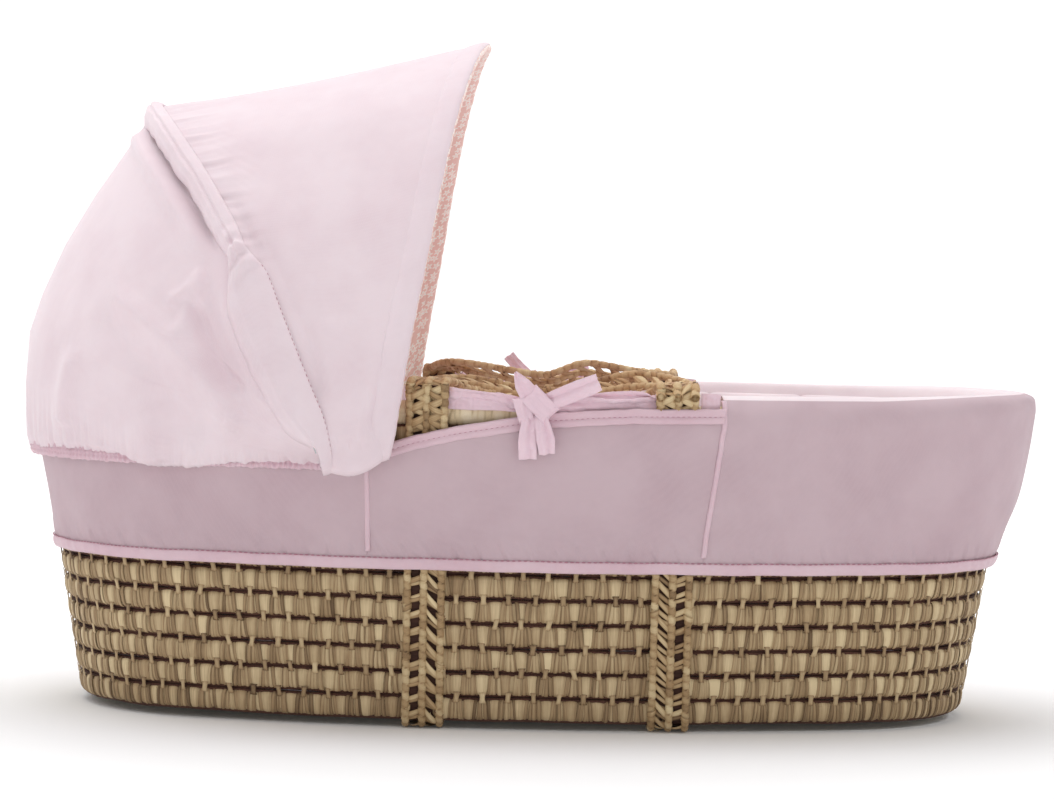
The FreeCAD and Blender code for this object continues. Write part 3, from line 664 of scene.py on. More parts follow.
def smooth_line(points, count):
    """A Catmull-Rom line through points, sampled evenly enough."""
    points = np.asarray(points, float)
    padded = np.vstack([2 * points[0] - points[1], points, 2 * points[-1] - points[-2]])
    spans = len(points) - 1
    t = np.linspace(0, spans, count)
    i = np.minimum(t.astype(int), spans - 1)
    f = (t - i)[:, None]
    a, b, c, d = (padded[i + k] for k in range(4))
    bend = 2 * a - 5 * b + 4 * c - d
    twist = 3 * b - a - 3 * c + d
    return 0.5 * (2 * b + (c - a) * f + bend * f**2 + twist * f**3)


def wrapped_cord(track, side, radius, seed):
    """A cord wrapped in strip: each turn swells a little, with a crease between turns."""
    per_turn, rings = 5, 9
    pitch, ridge = 6.6, 0.75
    turns = max(4, int(track.length / pitch))
    rows = turns * per_turn + 1
    along = np.linspace(0, track.length, rows)[:, None]
    angle = np.linspace(0, 2 * math.pi, rings, endpoint=False)
    local = np.random.default_rng(seed)
    drift = np.interp(along, np.linspace(0, track.length, 24), local.normal(0, 0.25, 24))
    turn = along / track.length * turns + 0.9 * np.sin(angle) / pitch + drift
    from_middle = np.abs(2 * np.mod(turn, 1.0) - 1)
    swell = ridge * (1 - from_middle**3) - ridge * 0.6
    ends = bell(along, 0.0, 30.0) + bell(along, track.length, 30.0)
    r = (radius + swell + 0.12 * slow_wave(along, seed, 40.0)) * (1 + 0.22 * ends)
    points = track.at(along, side + r * np.sin(angle), r * np.cos(angle))
    tone_of_turn = local.normal(0.55, 0.14, turns + 8)
    index = np.floor(turn).astype(int)
    # Painted shade: each turn darkens toward the crease between turns. The tone of each turn is random.
    tones = tone_of_turn[np.clip(index + 3, 0, turns + 7)] - 0.38 * from_middle**6
    return points, stacked(turn * 5.3, angle * radius * 1.4), tones, grid_faces(rows, rings, False, True)


def bars(track, starts, begin, finish, slope, wide, bow, seed, tone):
    """Short strips from one cord to the next, with a crown and a random tone."""
    local = np.random.default_rng(seed)
    count = len(starts)
    columns = 7
    t = np.linspace(0, 1, columns)[None, :, None]
    across = STRIP_ACROSS
    wides = wide * spread(local.uniform(0.85, 1.12, count))
    shake = spread(local.normal(0, 0.5, count))
    along = spread(starts) + shake + slope * t + across * wides / 2
    arch = bow * np.sin(math.pi * t) * spread(local.uniform(0.6, 1.3, count))
    lift = arch + 0.5 * (1 - across**2) + spread(local.normal(0, 0.25, count))
    uv = stacked(across * 1.7 + spread(np.arange(count) * 3.7), t * 8.0)
    shades = spread(tone + local.normal(0, 0.13, count))
    # Painted shade: each strip is darker at its edges and ends.
    tones = shades - 0.25 * (np.abs(across) > 0.9) - 0.2 * np.abs(2 * t - 1) ** 3
    points = track.at(along, begin + (finish - begin) * t, lift)
    return points, uv, tones, many_faces(count, columns, 4)


# The strips between a braid's cords: (start, side, slope, width, bow, tone).
BRAID_STEP = 13.8
BRAID_CORDS = ((-13.5, 2.9), (-0.4, 3.0), (13.5, 2.9))
BRAID_STRIPS = [
    (0.0, -1, 4.5, 4.4, 1.1, 0.55),
    (3.6, -1, 3.0, 3.4, 0.5, 0.46),
    (-1.0, 1, 12.5, 5.6, 2.2, 0.70),
    (4.4, 1, 9.0, 4.2, 1.0, 0.46),
    (8.0, 1, 5.0, 3.2, 0.2, 0.36),
]
# The strips where a strap folds over the rim: (start, begin, finish, slope, width, bow, tone).
KNOT_STRIPS = [
    (0.0, -14.5, 0.5, 7.0, 6.4, 5.4, 0.62),
    (4.0, 0.5, -14.5, 7.0, 5.6, 4.6, 0.54),
    (2.0, -0.5, 14.5, 7.5, 6.4, 5.4, 0.64),
    (5.5, 14.5, -0.5, 7.0, 5.6, 4.6, 0.55),
]


def braid(track, seed, turned=1.0, lean=1.0):
    """The open braid: three wrapped cords, short bars on one side and long slanted strips on the other."""
    parts = []
    for index, (side, radius) in enumerate(BRAID_CORDS):
        parts.append(wrapped_cord(track, side * turned, radius, seed + index))
    starts = np.arange(4.0, track.length - 12.0, BRAID_STEP)
    for index, (start, side, slope, wide, bow, tone) in enumerate(BRAID_STRIPS):
        near, far = 1.0 * side * turned, 12.6 * side * turned
        parts.append(bars(track, starts + start, near, far, slope * lean, wide, bow, seed + 5 + index, tone))
    loops = np.arange(14.0, track.length - 14.0, BRAID_STEP * 3)
    levels = track.at(loops, 0.0, 0.0)[:, 2]
    loops = loops[((levels < 116) & (levels > 12)) | (levels > 264)]
    for index, (start, side) in enumerate(((0, 1), (5, -1))):
        near, far = 9.6 * side, 17.0 * side
        parts.append(bars(track, loops + start, near, far, 3.0, 4.6, 3.6, seed + 10 + index, 0.58))
    return parts


def top_knots(track, seed, reach):
    """Heavier crossed strips where a strap folds over the rim."""
    parts = []
    for first, last in ((2.0, reach), (track.length - reach, track.length - 2.0)):
        starts = np.arange(first, last - 9.0, 10.5)
        for index, (start, begin, finish, slope, wide, bow, tone) in enumerate(KNOT_STRIPS):
            parts.append(bars(track, starts + start, begin, finish, slope, wide, bow, seed + index, tone))
    return parts


def strap_track(middle):
    """Down the near wall, under the base and up the far wall."""
    levels = np.linspace(277.0, 16.0, 120)
    gap = 1.0 + 2.75
    half = half_width_at(middle, wall_outer(levels) + gap)
    slope = -middle / np.sqrt((wall_outer(100.0) - LENGTH_OVER_WIDTH + SIDE_CENTRE) ** 2 - middle**2)
    near = [(middle, -w, z) for w, z in zip(half, levels)]
    corner = half_width_at(middle, wall_outer(10.0) + gap)
    turn = [
        (middle, -corner + 12 * (1 - math.cos(a)), 15.6 - 12.3 * math.sin(a))
        for a in np.linspace(0.12, math.pi / 2, 14)
    ]
    start = turn[-1][1]
    floor = [(middle, y, 3.3) for y in np.linspace(start, -start, 120)[1:-1]]
    back = [(x, -y, z) for x, y, z in (near + turn)[::-1]]
    points = near + turn + floor + back
    across = []
    for _, y, z in points:
        weight = float(smooth_step(z, 3.0, 40.0)) * (1 if y < 0 else -1)
        across.append((-1.0, slope * weight, 0.0))
    return Track(points, across)


STRAP_PLACES = {"head": -78.0, "foot": 118.0}


def strap_back(track):
    """A strap's inner face made dark, seen through its holes: painted shadow for the gap between strap and
    wall.
    """
    along = np.linspace(2, track.length - 2, 260)[:, None]
    side = np.linspace(-12.5, 12.5, 5)
    return track.at(along, side, -2.3), stacked(along * 0.4, side), 0.1, grid_faces(260, 5)


def strap(word, seed, turned, knot_reach):
    track = strap_track(STRAP_PLACES[word])
    parts = braid(track, seed, turned, -turned) + top_knots(track, seed + 10, knot_reach)
    palm_piece(f"strap_braid_{word}", parts, STRAP_PALM, [f"strap_{word}"])
    palm_piece(f"strap_painted_shade_{word}", [strap_back(track)], PAINTED_SHADE_CORE)


strap("head", 100, -1.0, 42.0)
strap("foot", 120, 1.0, 18.0)


def rim_wrap():
    """The wrapped roll round the rim."""
    turns = 290
    rows, rings = turns * 5, 14
    along = np.linspace(0, LAP, rows, endpoint=False)[:, None]
    angle = np.linspace(0, 2 * math.pi, rings, endpoint=False)
    warp = 0.9 * slow_wave(along, 5.0, 37.0)
    turn = along / LAP * turns + 0.22 * np.sin(angle + 0.6) + warp
    from_middle = np.abs(2 * np.mod(turn, 1.0) - 1)
    r = 7.55 + 0.45 * (1 - from_middle**4)
    tall = np.where(np.sin(angle) < 0, 1.42, 1.0)
    points = on_oval(along, 255.0 + tall * r * np.sin(angle), 403.0 + r * np.cos(angle))
    index = np.mod(np.floor(turn).astype(int), turns)
    # Painted shade: each turn darkens toward the crease between turns.
    tones = rng.normal(0.55, 0.12, turns)[index] - 0.45 * from_middle**7
    part = (points, stacked(turn * 6.1, angle * 9.0), tones, grid_faces(rows, rings, True, True))
    palm_piece("rim_wrap", [part], RIM_PALM, ["rim_roll"])


rim_wrap()

# ------------------------------------------------------------------ cloth help


def sheet_normals(grid):
    """Unit normals of a grid of points, on one side of it."""
    return unit(np.cross(np.gradient(grid, axis=0), np.gradient(grid, axis=1)))


def surface_normals(grid, away_from):
    """Unit normals of a grid of points, on the side away from a point."""
    normal = sheet_normals(grid)
    flip = np.sign(np.sum(normal * (grid - np.asarray(away_from, float)), -1))[..., None]
    return normal * np.where(flip == 0, 1.0, flip)


def once_round(grid):
    """A grid that goes once round, with one more column at each end."""
    return np.concatenate([grid[:, -1:], grid, grid[:, :1]], 1)


def round_normals(grid, away_from):
    return surface_normals(once_round(grid), away_from)[:, 1:-1]


def grid_lengths(grid):
    """The distance along each row and each column, as a flat cloth coordinate."""
    across = np.linalg.norm(np.diff(grid, axis=1), axis=-1)
    down = np.linalg.norm(np.diff(grid, axis=0), axis=-1)
    u = np.concatenate([np.zeros((grid.shape[0], 1)), np.cumsum(across, 1)], 1)
    v = np.concatenate([np.zeros((1, grid.shape[1])), np.cumsum(down, 0)], 0)
    return np.stack([u - u[:, u.shape[1] // 2][:, None], v], -1)


def line_length(points):
    """The length of a line in metres."""
    return float(way_along(points)[-1]) * MM


def cloth(name, grid, thick, material, normals, closed=False, body=None, nodes=()):
    """A sheet with a thickness: two layers and their edges. Closed sheets join at the lap's end."""
    rows, columns = grid.shape[:2]
    points = np.stack([grid, grid - normals * thick])
    front = grid_faces(rows, columns, False, closed)
    count = rows * columns
    numbers = np.arange(count).reshape(rows, columns)
    edges = [numbers[0], numbers[-1][::-1]]
    if not closed:
        edges += [numbers[:, -1], numbers[::-1, 0]]
    rims = []
    for edge in edges:
        ends = np.append(edge, edge[0]) if closed else edge
        a, b = ends[:-1], ends[1:]
        rims.append(np.stack([a, a + count, b + count, b], -1))
    faces = np.concatenate([front, front[:, ::-1] + count, *rims])
    flat = grid_lengths(grid)
    made = make_piece(name, points, faces, material, np.stack([flat, flat]))
    middle = len(front) // 2
    wanted = Vector(normals.reshape(-1, 3)[front[middle][0]])
    if made.data.polygons[middle].normal.dot(wanted) < 0:
        made.data.flip_normals()
    return declare(made, body, nodes)


def stitch_row(name, points, normals, pitch, body, long, radius):
    """A row of short thread stitches along a line."""
    along = way_along(points)
    middles = np.arange(pitch / 2, along[-1], pitch)
    rows, rings = 5, 5
    t = np.linspace(-1, 1, rows)
    where = middles[:, None] + t * long / 2
    centre = read_line(points, along, where)
    up = unit(read_line(normals, along, where))
    side = np.cross(up, unit(np.gradient(centre, axis=1)))
    angle = np.linspace(0, 2 * math.pi, rings, endpoint=False)[:, None]
    r = radius * np.sqrt(np.clip(1 - 0.9 * t**2, 0.02, 1))[:, None, None]
    lift = (0.25 * (1 - t**2) - 0.1)[:, None, None]
    raised = np.cos(angle) * r + lift
    ring = centre[:, :, None] + side[:, :, None] * np.sin(angle) * r + up[:, :, None] * raised
    made = make_piece(name, ring, many_faces(len(middles), rows, rings, False, True), THREAD)
    return declare(made, body)


# ------------------------------------------------------------------ the outer skirt

NEAR, FAR = -1, 1
HEAD_SEAM = -123.0
FOOT_SEAM = 142.0

# The skirt's outside, as (half length, height) from hem to inner lip, at three places.
HEAD_LINE = [
    (393.4, 130), (396.5, 149), (404.5, 190), (411.5, 224), (416.0, 246),
    (416.5, 258), (411.5, 268), (403.0, 272.5), (395.0, 270.5), (391.5, 263), (391.0, 255),
]
SIDE_LINE = [
    (398.4, 130), (402.0, 149), (409.5, 190), (415.2, 224), (418.4, 244),
    (418.2, 254), (414.0, 263), (405.5, 270.0), (396.5, 270.8), (391.5, 263), (391.0, 255),
]
FOOT_LINE = [
    (393.5, 130), (401.5, 149), (415.0, 182), (422.5, 218), (427.0, 248),
    (428.5, 262), (425.0, 270.5), (413.0, 274.0), (399.0, 272.0), (391.5, 263), (391.0, 255),
]

PROFILE_POINTS = 81
PROFILES = [smooth_line(line, PROFILE_POINTS) for line in (HEAD_LINE, SIDE_LINE, FOOT_LINE)]


def profile_at(nx, share):
    """Half length and height on the skirt's outside, where the oval faces nx, at a share of the way up."""
    places = np.linspace(0, 1, PROFILE_POINTS)
    head_line, side_line, foot_line = (read_line(line, places, share) for line in PROFILES)
    head = smooth_step(-nx, 0.25, 0.95)[..., None]
    foot = smooth_step(nx, 0.15, 0.9)[..., None]
    return head_line * head + foot_line * foot + side_line * (1 - head - foot)


def side_top(x):
    """The height of the side panels' bound top edge."""
    return np.interp(x, [-125, -108, -86, -60, -12, 5, 60, 145], [222, 228, 235, 241.5, 250, 253, 257, 260])


def skirt_ripple(along, height, level):
    """Soft waves of the hanging cloth, and short puckers above the hem's seam."""
    slow = 1.5 * slow_wave(along, 21.0, 330.0) * smooth_step(height, 132, 175)
    middle = 1.0 * slow_wave(along + 0.35 * height, 23.0, 105.0) * smooth_step(height, 136, 185)
    pucker = slow_wave(along + 0.5 * (height - 138), 27.0, 12.0) * bell(height, 143.5, 7.5)
    slanted = slow_wave(along + 1.3 * (height - 138), 29.0, 30.0) * bell(height, 152, 12.0)
    return (slow + middle) * level + 1.3 * pucker + 0.9 * slanted


# How far the foot panel's seam leans to the foot, at four heights.
LEAN_HEIGHTS = [130, 160, 215, 262]
LEANS = [-1.5, 1.0, 7.0, 11.0]


def foot_seam(height):
    """Where the foot panel's seam runs."""
    return FOOT_SEAM + np.interp(height, LEAN_HEIGHTS, LEANS)


def skirt_grid(start, end, columns, rows, top_share=1.0, level=1.0):
    along = np.atleast_2d(np.linspace(start, end, columns, axis=-1))
    share = np.linspace(0, top_share, rows)[:, None] if np.ndim(top_share) == 0 else top_share
    along, share = np.broadcast_arrays(along, share)
    _, _, nx, _ = oval_at(along, 400.0)
    line = profile_at(nx, share)
    half, height = line[..., 0], line[..., 1]
    calm = 1 - smooth_step(share, 0.5, 0.62)
    half = half + skirt_ripple(along, height, level) * calm
    half = half + 0.9 * (1 - calm) * slow_wave(along, 31.0, 60.0)
    return on_oval(along, height, half)


def outward(grid):
    return surface_normals(grid, (0, 0, 190))


def seam_heights(share):
    """The heights of the skirt's sides at shares of the way up."""
    return profile_at(np.full(len(share), 0.2), share)[:, 1]


def rolled_normals(grid):
    """Normals of a sheet that rolls over the rim: away from the rim's line, which runs inside it."""
    normal = sheet_normals(grid)
    along = np.arctan2(grid[0, :, 1], grid[0, :, 0])
    sign = np.sign(normal[0, :, 0] * np.cos(along) + normal[0, :, 1] * np.sin(along))
    return normal * sign[:, None]


def end_panel(word, start, end):
    """The skirt's head or foot panel, which rolls over the rim and shows its pale inner face there."""
    rows, columns = 76, 420
    first_inner_row = 50
    grid = skirt_grid(start, end, columns, rows)
    piece = cloth(
        f"skirt_{word}", grid, 1.6, SKIRT_COTTON, rolled_normals(grid),
        body="basket", nodes=[f"skirt_{word}_panel"],
    )
    piece.data.materials.append(LINER_COTTON)
    inner_face = np.tile(np.repeat(np.arange(rows - 1) >= first_inner_row, columns - 1), 2)
    indices = np.zeros(len(piece.data.polygons), np.int32)
    indices[: len(inner_face)] = inner_face
    piece.data.polygons.foreach_set("material_index", indices)


def side_panel(word, side):
    """A side panel between the two seams, up to its bound top edge."""
    rows, columns = 58, 200
    heights = np.linspace(130.0, float(side_top(FOOT_SEAM + LEANS[-1])), rows)
    start = np.full(rows, along_at(HEAD_SEAM - 0.6, side))
    end = np.array([along_at(x + 0.6, side) for x in foot_seam(heights)])
    x, _, _, _ = oval_at(np.linspace(start[-1], end[-1], columns), 412.0)
    shares = np.linspace(0, 1, 400)
    below_roll = slice(0, 220)
    levels = profile_at(np.zeros(1), shares)[below_roll, 1]
    tops = np.interp(side_top(x), levels, shares[below_roll])
    share = np.linspace(0, 1, rows)[:, None] * tops
    grid = skirt_grid(start, end, columns, rows, share, 0.7)
    normals = outward(grid)
    piece = cloth(
        f"skirt_side_{word}", grid, 1.6, SKIRT_COTTON, normals,
        body="basket", nodes=[f"skirt_side_panel_{word}"],
    )
    bound_top(word, grid, normals)


def skirt():
    seam = foot_seam(seam_heights(np.linspace(0, 1, 76)))
    near_seam = np.array([along_at(x, NEAR) for x in seam])
    far_seam = np.array([along_at(x, FAR) for x in seam])
    end_panel("head", along_at(HEAD_SEAM, FAR), along_at(HEAD_SEAM, NEAR))
    end_panel("foot", near_seam, far_seam + LAP)
    side_panel("near", NEAR)
    side_panel("far", FAR)


def bound_top(word, grid, normals):
    """The side panel's folded binding: two soft rolls with a groove of stitches between."""
    edge, out = grid[-1], normals[-1]
    up = unit(grid[-1] - grid[-6])
    turn = np.linspace(0, 1, 15)[:, None]
    height = np.interp(turn, [0, 0.42, 0.5, 0.86, 1.0], [-10.5, -4.8, -4.2, 1.2, 0.4])
    lower = np.clip(turn / 0.46, 0, 1)
    upper = np.clip((turn - 0.46) / 0.54, 0, 1)
    lift = 0.6 + 1.5 * np.sin(lower * math.pi) ** 0.8 * (turn < 0.46)
    lift = lift + 2.6 * np.sin(upper * math.pi * 0.86) ** 0.7 * (turn >= 0.46)
    wobble = 0.5 * slow_wave(np.arange(len(edge)), 33.0 + len(word), 31.0)
    ring = edge + up * (height + wobble)[..., None] + out * (lift * (1 + 0.18 * wobble))[..., None]
    piece = cloth(
        f"side_binding_{word}", ring, 1.0, HEM_COTTON, outward(ring),
        body="basket", nodes=[f"side_panel_binding_{word}"],
    )
    seam = edge + up * -4.6 + out * 1.0
    thread = stitch_row(f"side_binding_thread_{word}", seam, out, 4.2, "basket", 3.0, 0.32)
    line_length(edge)


def skirt_hem():
    """The bound lower hem, with a puckered row of stitches along its top."""
    along = np.linspace(0, LAP, 1100, endpoint=False)
    turn = np.linspace(0, 1, 13)[:, None]
    height = 129.0 + 9.2 * turn + 0.5 * slow_wave(along, 41.0, 120.0)
    _, _, nx, _ = oval_at(along + 0 * turn, 400.0)
    half = profile_at(nx, 0.015 + turn * 0.05 + 0 * along)[..., 0]
    swell = 1.7 * np.sin(np.clip(turn * 0.94 + 0.06, 0, 1) * math.pi) ** 0.55
    twist = 0.35 * np.sin(along * 0.42 + turn * 2.4) * bell(turn, 0.5, 0.4)
    pucker = 0.5 * slow_wave(along, 43.0, 15.0) * turn
    grid = on_oval(along, height, half + 0.4 + swell + twist + pucker)
    normals = round_normals(grid, (0, 0, 133))
    piece = cloth(
        "skirt_hem", grid, 1.2, HEM_COTTON, normals, closed=True,
        body="basket", nodes=["skirt_hem_binding"],
    )
    top = grid[-2] + normals[-1] * 0.3 + np.array([0, 0, 0.6])
    thread = stitch_row("skirt_hem_thread", top, normals[-3], 4.6, "basket", 3.1, 0.5)


def panel_seam(word, x, side, leans):
    """A rolled seam where an end panel meets a side panel. It leans like the foot seam, or not."""
    share = np.linspace(0.075, 0.66, 70)
    bend = foot_seam(seam_heights(share)) - FOOT_SEAM if leans else 0 * share
    middle = np.array([along_at(place, side) for place in x + bend])[:, None]
    across = np.linspace(-1, 1, 7)
    share = share[:, None] + 0 * across
    along = middle + across * 2.2 + 0.5 * slow_wave(share * 160, 51.0 + x, 40.0)
    _, _, nx, _ = oval_at(along, 400.0)
    line = profile_at(nx, share)
    swell = 0.5 + 1.3 * np.sqrt(np.clip(1 - across**2, 0, 1))
    grid = on_oval(along, line[..., 1], line[..., 0] + swell)
    cloth(f"skirt_seam_{word}", grid, 1.0, HEM_COTTON, outward(grid), body="basket")


skirt()
skirt_hem()
panel_seam("head_near", HEAD_SEAM, NEAR, False)
panel_seam("head_far", HEAD_SEAM, FAR, False)
panel_seam("foot_near", FOOT_SEAM, NEAR, True)
panel_seam("foot_far", FOOT_SEAM, FAR, True)

# ------------------------------------------------------------------ liner and mattress

# The liner's section, as (half length, height): up the inside, over the top and down at the back.
LINER_LINE = [
    (363.5, 24), (369.0, 60), (377.0, 120), (384.5, 190), (387.5, 236), (386.6, 252),
    (387.5, 259), (390.5, 262.2), (393.6, 258), (393.8, 249), (391.0, 236),
    (387.0, 190), (379.0, 120), (371.5, 60), (366.5, 24),
]


def liner():
    """The padded inner wall, quilted in soft upright channels."""
    rows, columns, channels = 61, 720, 24
    half, height = smooth_line(LINER_LINE, rows).T[:, :, None]
    along = np.linspace(0, LAP, columns, endpoint=False)
    share = np.linspace(0, 1, rows)[:, None]
    phase = np.mod(along / LAP * channels, 1.0)
    puff = np.abs(np.sin(phase * math.pi)) ** 0.55
    inside = smooth_step(share, 0.02, 0.10) * (1 - smooth_step(share, 0.42, 0.52))
    crumple = 0.5 * slow_wave(along + share * 60, 61.0, 70.0)
    crumple = crumple + 0.35 * slow_wave(along - share * 90, 62.0, 33.0)
    half = half - (puff * 3.6 - 1.6 + crumple) * inside
    seam_pull = bell(phase, 0.0, 0.03) + bell(phase, 1.0, 0.03)
    height = height - 1.6 * seam_pull * smooth_step(share, 0.3, 0.5)
    grid = on_oval(along, height, half)
    flat = grid_lengths(once_round(grid))[:, 1:-1]
    piece = make_piece("liner_pad", grid, grid_faces(rows, columns, True, True), LINER_COTTON, flat)
    declare(piece, "basket", ["liner"])


def mattress():
    """The mattress in its fitted cover: crowned, softly quilted, with a corded edge."""
    columns = 420
    low, high = 20.8, 62.0
    rows = [
        (low, 10.0), (low, 5.0), (low + 0.6, 2.4), (low + 2.5, 0.9), (low + 7, 0.1), (low + 20, -0.6),
        (high - 12, 0.0), (high - 7.5, 0.6), (high - 5.8, 1.2),
    ]
    for a in np.linspace(-0.3, 0.5, 7) * math.pi:
        rows.append((high - 3.2 + 2.3 * math.sin(a), 1.6 - 1.9 * math.cos(a)))
    for step in np.linspace(0, 118, 40)[1:]:
        rows.append((high - 2.4 + 2.6 * smooth_step(step, 1, 22), 3.0 + step))
    z, pull = np.array(rows).T[:, :, None]
    grid = on_oval(np.linspace(0, LAP, columns, endpoint=False), z, 347.0 - pull)
    x, y = grid[..., 0], grid[..., 1]
    quilt = np.abs(np.sin((x + y) * math.pi / 58.0)) ** 0.5 + np.abs(np.sin((x - y) * math.pi / 58.0)) ** 0.5
    grid[..., 2] += smooth_step(pull, 6, 24) * (1.9 * (quilt - 1.2) - 1.0)
    near = np.arange(columns // 2 - 1)
    cap = np.stack([near, near + 1, columns - 2 - near, columns - 1 - near], -1)
    last = (len(rows) - 1) * columns
    faces = np.concatenate([grid_faces(len(rows), columns, False, True), cap + last, cap[:, ::-1]])
    piece = make_piece("mattress_pad", grid, faces, MATTRESS_COTTON)
    piece.data.flip_normals()
    declare(piece, "mattress", ["mattress_cover", "mattress_foam"])


liner()
mattress()

# ------------------------------------------------------------------ the hood

LINE_COUNT = 401


def mirrored_line(near_points):
    """A smooth line from the near foot over the top to the far foot, evenly spaced."""
    near = np.asarray(near_points, float)
    far = near[:-1][::-1] * np.array([1, -1, 1])
    line = smooth_line(np.vstack([near, far]), 1601)
    along = way_along(line)
    return read_line(line, along, np.linspace(0, along[-1], LINE_COUNT))


# The hood's edges from the near foot, tucked in under the hem, up to the top.
FRONT_EDGE = [
    (-112, -228, 221), (-108.5, -239, 217), (-106, -244.5, 228), (-101, -244.5, 262), (-93, -238.5, 318),
    (-83.6, -223, 374), (-72.6, -191, 443), (-61.5, -146, 500), (-49, -78, 543), (-40.7, 0, 557),
]
SLEEVE_LINE = [
    (-157, -228, 214), (-158, -241, 208), (-162, -247.5, 224), (-179, -247, 262), (-202, -237.5, 315),
    (-227, -214, 372), (-261, -173, 427), (-292, -115, 467), (-313, -52, 490), (-319, 0, 496),
]
FRONT = mirrored_line(FRONT_EDGE)
SLEEVE = mirrored_line(SLEEVE_LINE)
HOOD_INSIDE = np.array([-190.0, 0.0, 300.0])
# Lengths of the hood's lines from the top to a foot, for waves that run along them.
FRONT_REACH = 430.0
REAR_REACH = 330.0


def hood_normals(grid):
    return surface_normals(grid, HOOD_INSIDE)


def line_at(line, t):
    """A point on a hood line, for t from -1 at the near foot to 1 at the far foot."""
    return read_line(line, np.linspace(-1, 1, LINE_COUNT), t)


def hood_frame(line, other, t):
    """A hood line's points, with the directions toward the other line and out of the hood."""
    middle = line_at(line, t)
    tangent = unit(np.gradient(middle, axis=0))
    ahead = unit(square_to(line_at(other, t) - middle, tangent))
    out = np.cross(ahead, tangent)
    return middle, ahead, out * np.sign(np.sum(out * (middle - HOOD_INSIDE), -1))[:, None]


def panel_grid(rows, columns, first=0.0, last=1.0, reach=1.0):
    """Places v from a panel's front line to its rear one, and t from one foot to the other."""
    v = np.linspace(first, last, rows)[:, None]
    return np.broadcast_arrays(v, np.linspace(-reach, reach, columns))


def ridge(points, line, width, height, side, ends):
    """How far a fold lifts points: along a line of (x, z) on one side of the hood."""
    line = smooth_line(line, 60)
    x, z = points[..., 0], points[..., 2]
    best = np.full(x.shape, 1e9)
    share = np.zeros(x.shape)
    for index, (line_x, line_z) in enumerate(line):
        gap = (x - line_x) ** 2 + (z - line_z) ** 2
        share = np.where(gap < best, index / 59.0, share)
        best = np.minimum(gap, best)
    fade = smooth_step(share, 0, ends) * (1 - smooth_step(share, 1 - ends, 1))
    return height * np.exp(-best / width**2) * fade * smooth_step(points[..., 1] * side, 12, 45)


def all_folds(points, folds, ends):
    """The heights of a panel's folds, from a table for each side."""
    total = np.zeros(points.shape[:2])
    for side, table in folds.items():
        for line, width, height in table:
            total += ridge(points, line, width, height, side, ends[side])
    return total


# The folds on each side, not quite alike, as (line of x and z, width, height).
FRONT_FOLDS = {
    NEAR: [
        ([(-101, 330), (-108, 285), (-118, 236)], 5.5, -4.2),
        ([(-94, 345), (-99, 290), (-106, 240)], 4.5, 2.6),
        ([(-110, 300), (-122, 262), (-133, 226)], 8.0, 2.2),
        ([(-150, 330), (-146, 280), (-143, 222)], 16.0, 2.4),
        ([(-214, 392), (-190, 352), (-168, 300), (-158, 255)], 7.0, -2.4),
        ([(-236, 420), (-222, 392), (-211, 372)], 5.0, -2.2),
        ([(-262, 462), (-150, 480), (-70, 505)], 26.0, 2.5),
        ([(-240, 440), (-150, 452), (-75, 462)], 22.0, -2.2),
    ],
    FAR: [
        ([(-104, 320), (-112, 270), (-124, 228)], 6.0, -3.6),
        ([(-96, 350), (-101, 290), (-110, 236)], 5.0, 2.4),
        ([(-205, 385), (-176, 320), (-152, 240)], 9.0, -2.6),
    ],
}
REAR_FOLDS = {
    NEAR: [
        ([(-340, 348), (-306, 324), (-268, 294), (-240, 262), (-222, 232)], 9.5, 9.1),
        ([(-352, 330), (-318, 298), (-282, 264), (-250, 230)], 13.0, -6.5),
        ([(-268, 346), (-256, 316), (-242, 286), (-231, 266)], 6.0, -8.84),
        ([(-322, 482), (-304, 460), (-273, 420), (-242, 370)], 4.8, -8.45),
        ([(-336, 478), (-315, 452), (-284, 411), (-252, 362)], 6.5, 7.02),
        ([(-254, 364), (-268, 346), (-286, 334)], 5.5, 4.42),
        ([(-253, 358), (-264, 334), (-278, 304)], 6.5, 4.42),
        ([(-256, 352), (-246, 318), (-232, 284), (-222, 262)], 7.0, -5.98),
        ([(-376, 312), (-386, 282), (-388, 262)], 9.0, -2.08),
        ([(-362, 300), (-371, 262), (-374, 232)], 9.0, 5.98),
        ([(-300, 262), (-296, 240), (-290, 220)], 12.0, 4.55),
        ([(-330, 262), (-334, 240), (-338, 222)], 8.0, -1.82),
    ],
    FAR: [
        ([(-330, 352), (-296, 318), (-250, 282), (-214, 228)], 11.0, 6.0),
        ([(-345, 322), (-306, 288), (-262, 240)], 14.0, -3.8),
        ([(-318, 474), (-290, 440), (-264, 404), (-247, 376)], 7.0, -5.5),
        ([(-240, 300), (-222, 266), (-198, 226)], 9.0, -6.5),
        ([(-384, 312), (-391, 284), (-392, 264)], 9.0, -2.0),
        ([(-300, 270), (-296, 246), (-290, 222)], 10.0, 3.4),
    ],
}
FRONT_ENDS = {NEAR: 0.12, FAR: 0.12}
REAR_ENDS = {NEAR: 0.2, FAR: 0.12}


def front_folds(points):
    return all_folds(points, FRONT_FOLDS, FRONT_ENDS)


def rear_folds(points):
    return all_folds(points, REAR_FOLDS, REAR_ENDS)


def push(points, amount, normals):
    return points + normals * amount[..., None]


def blended(piece):
    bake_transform(piece)


def blend_front(piece):
    blended(piece)


def blend_rear(piece):
    blended(piece)


def star_lining(word, points, depth):
    """A panel's printed lining, some way inside the panel's own points."""
    inner = push(points, depth, hood_normals(points))
    normals = -hood_normals(inner)
    return cloth(f"hood_{word}_star_lining", inner, 0.8, STAR_LINING, normals,
                 nodes=[f"hood_{word}_lining"])


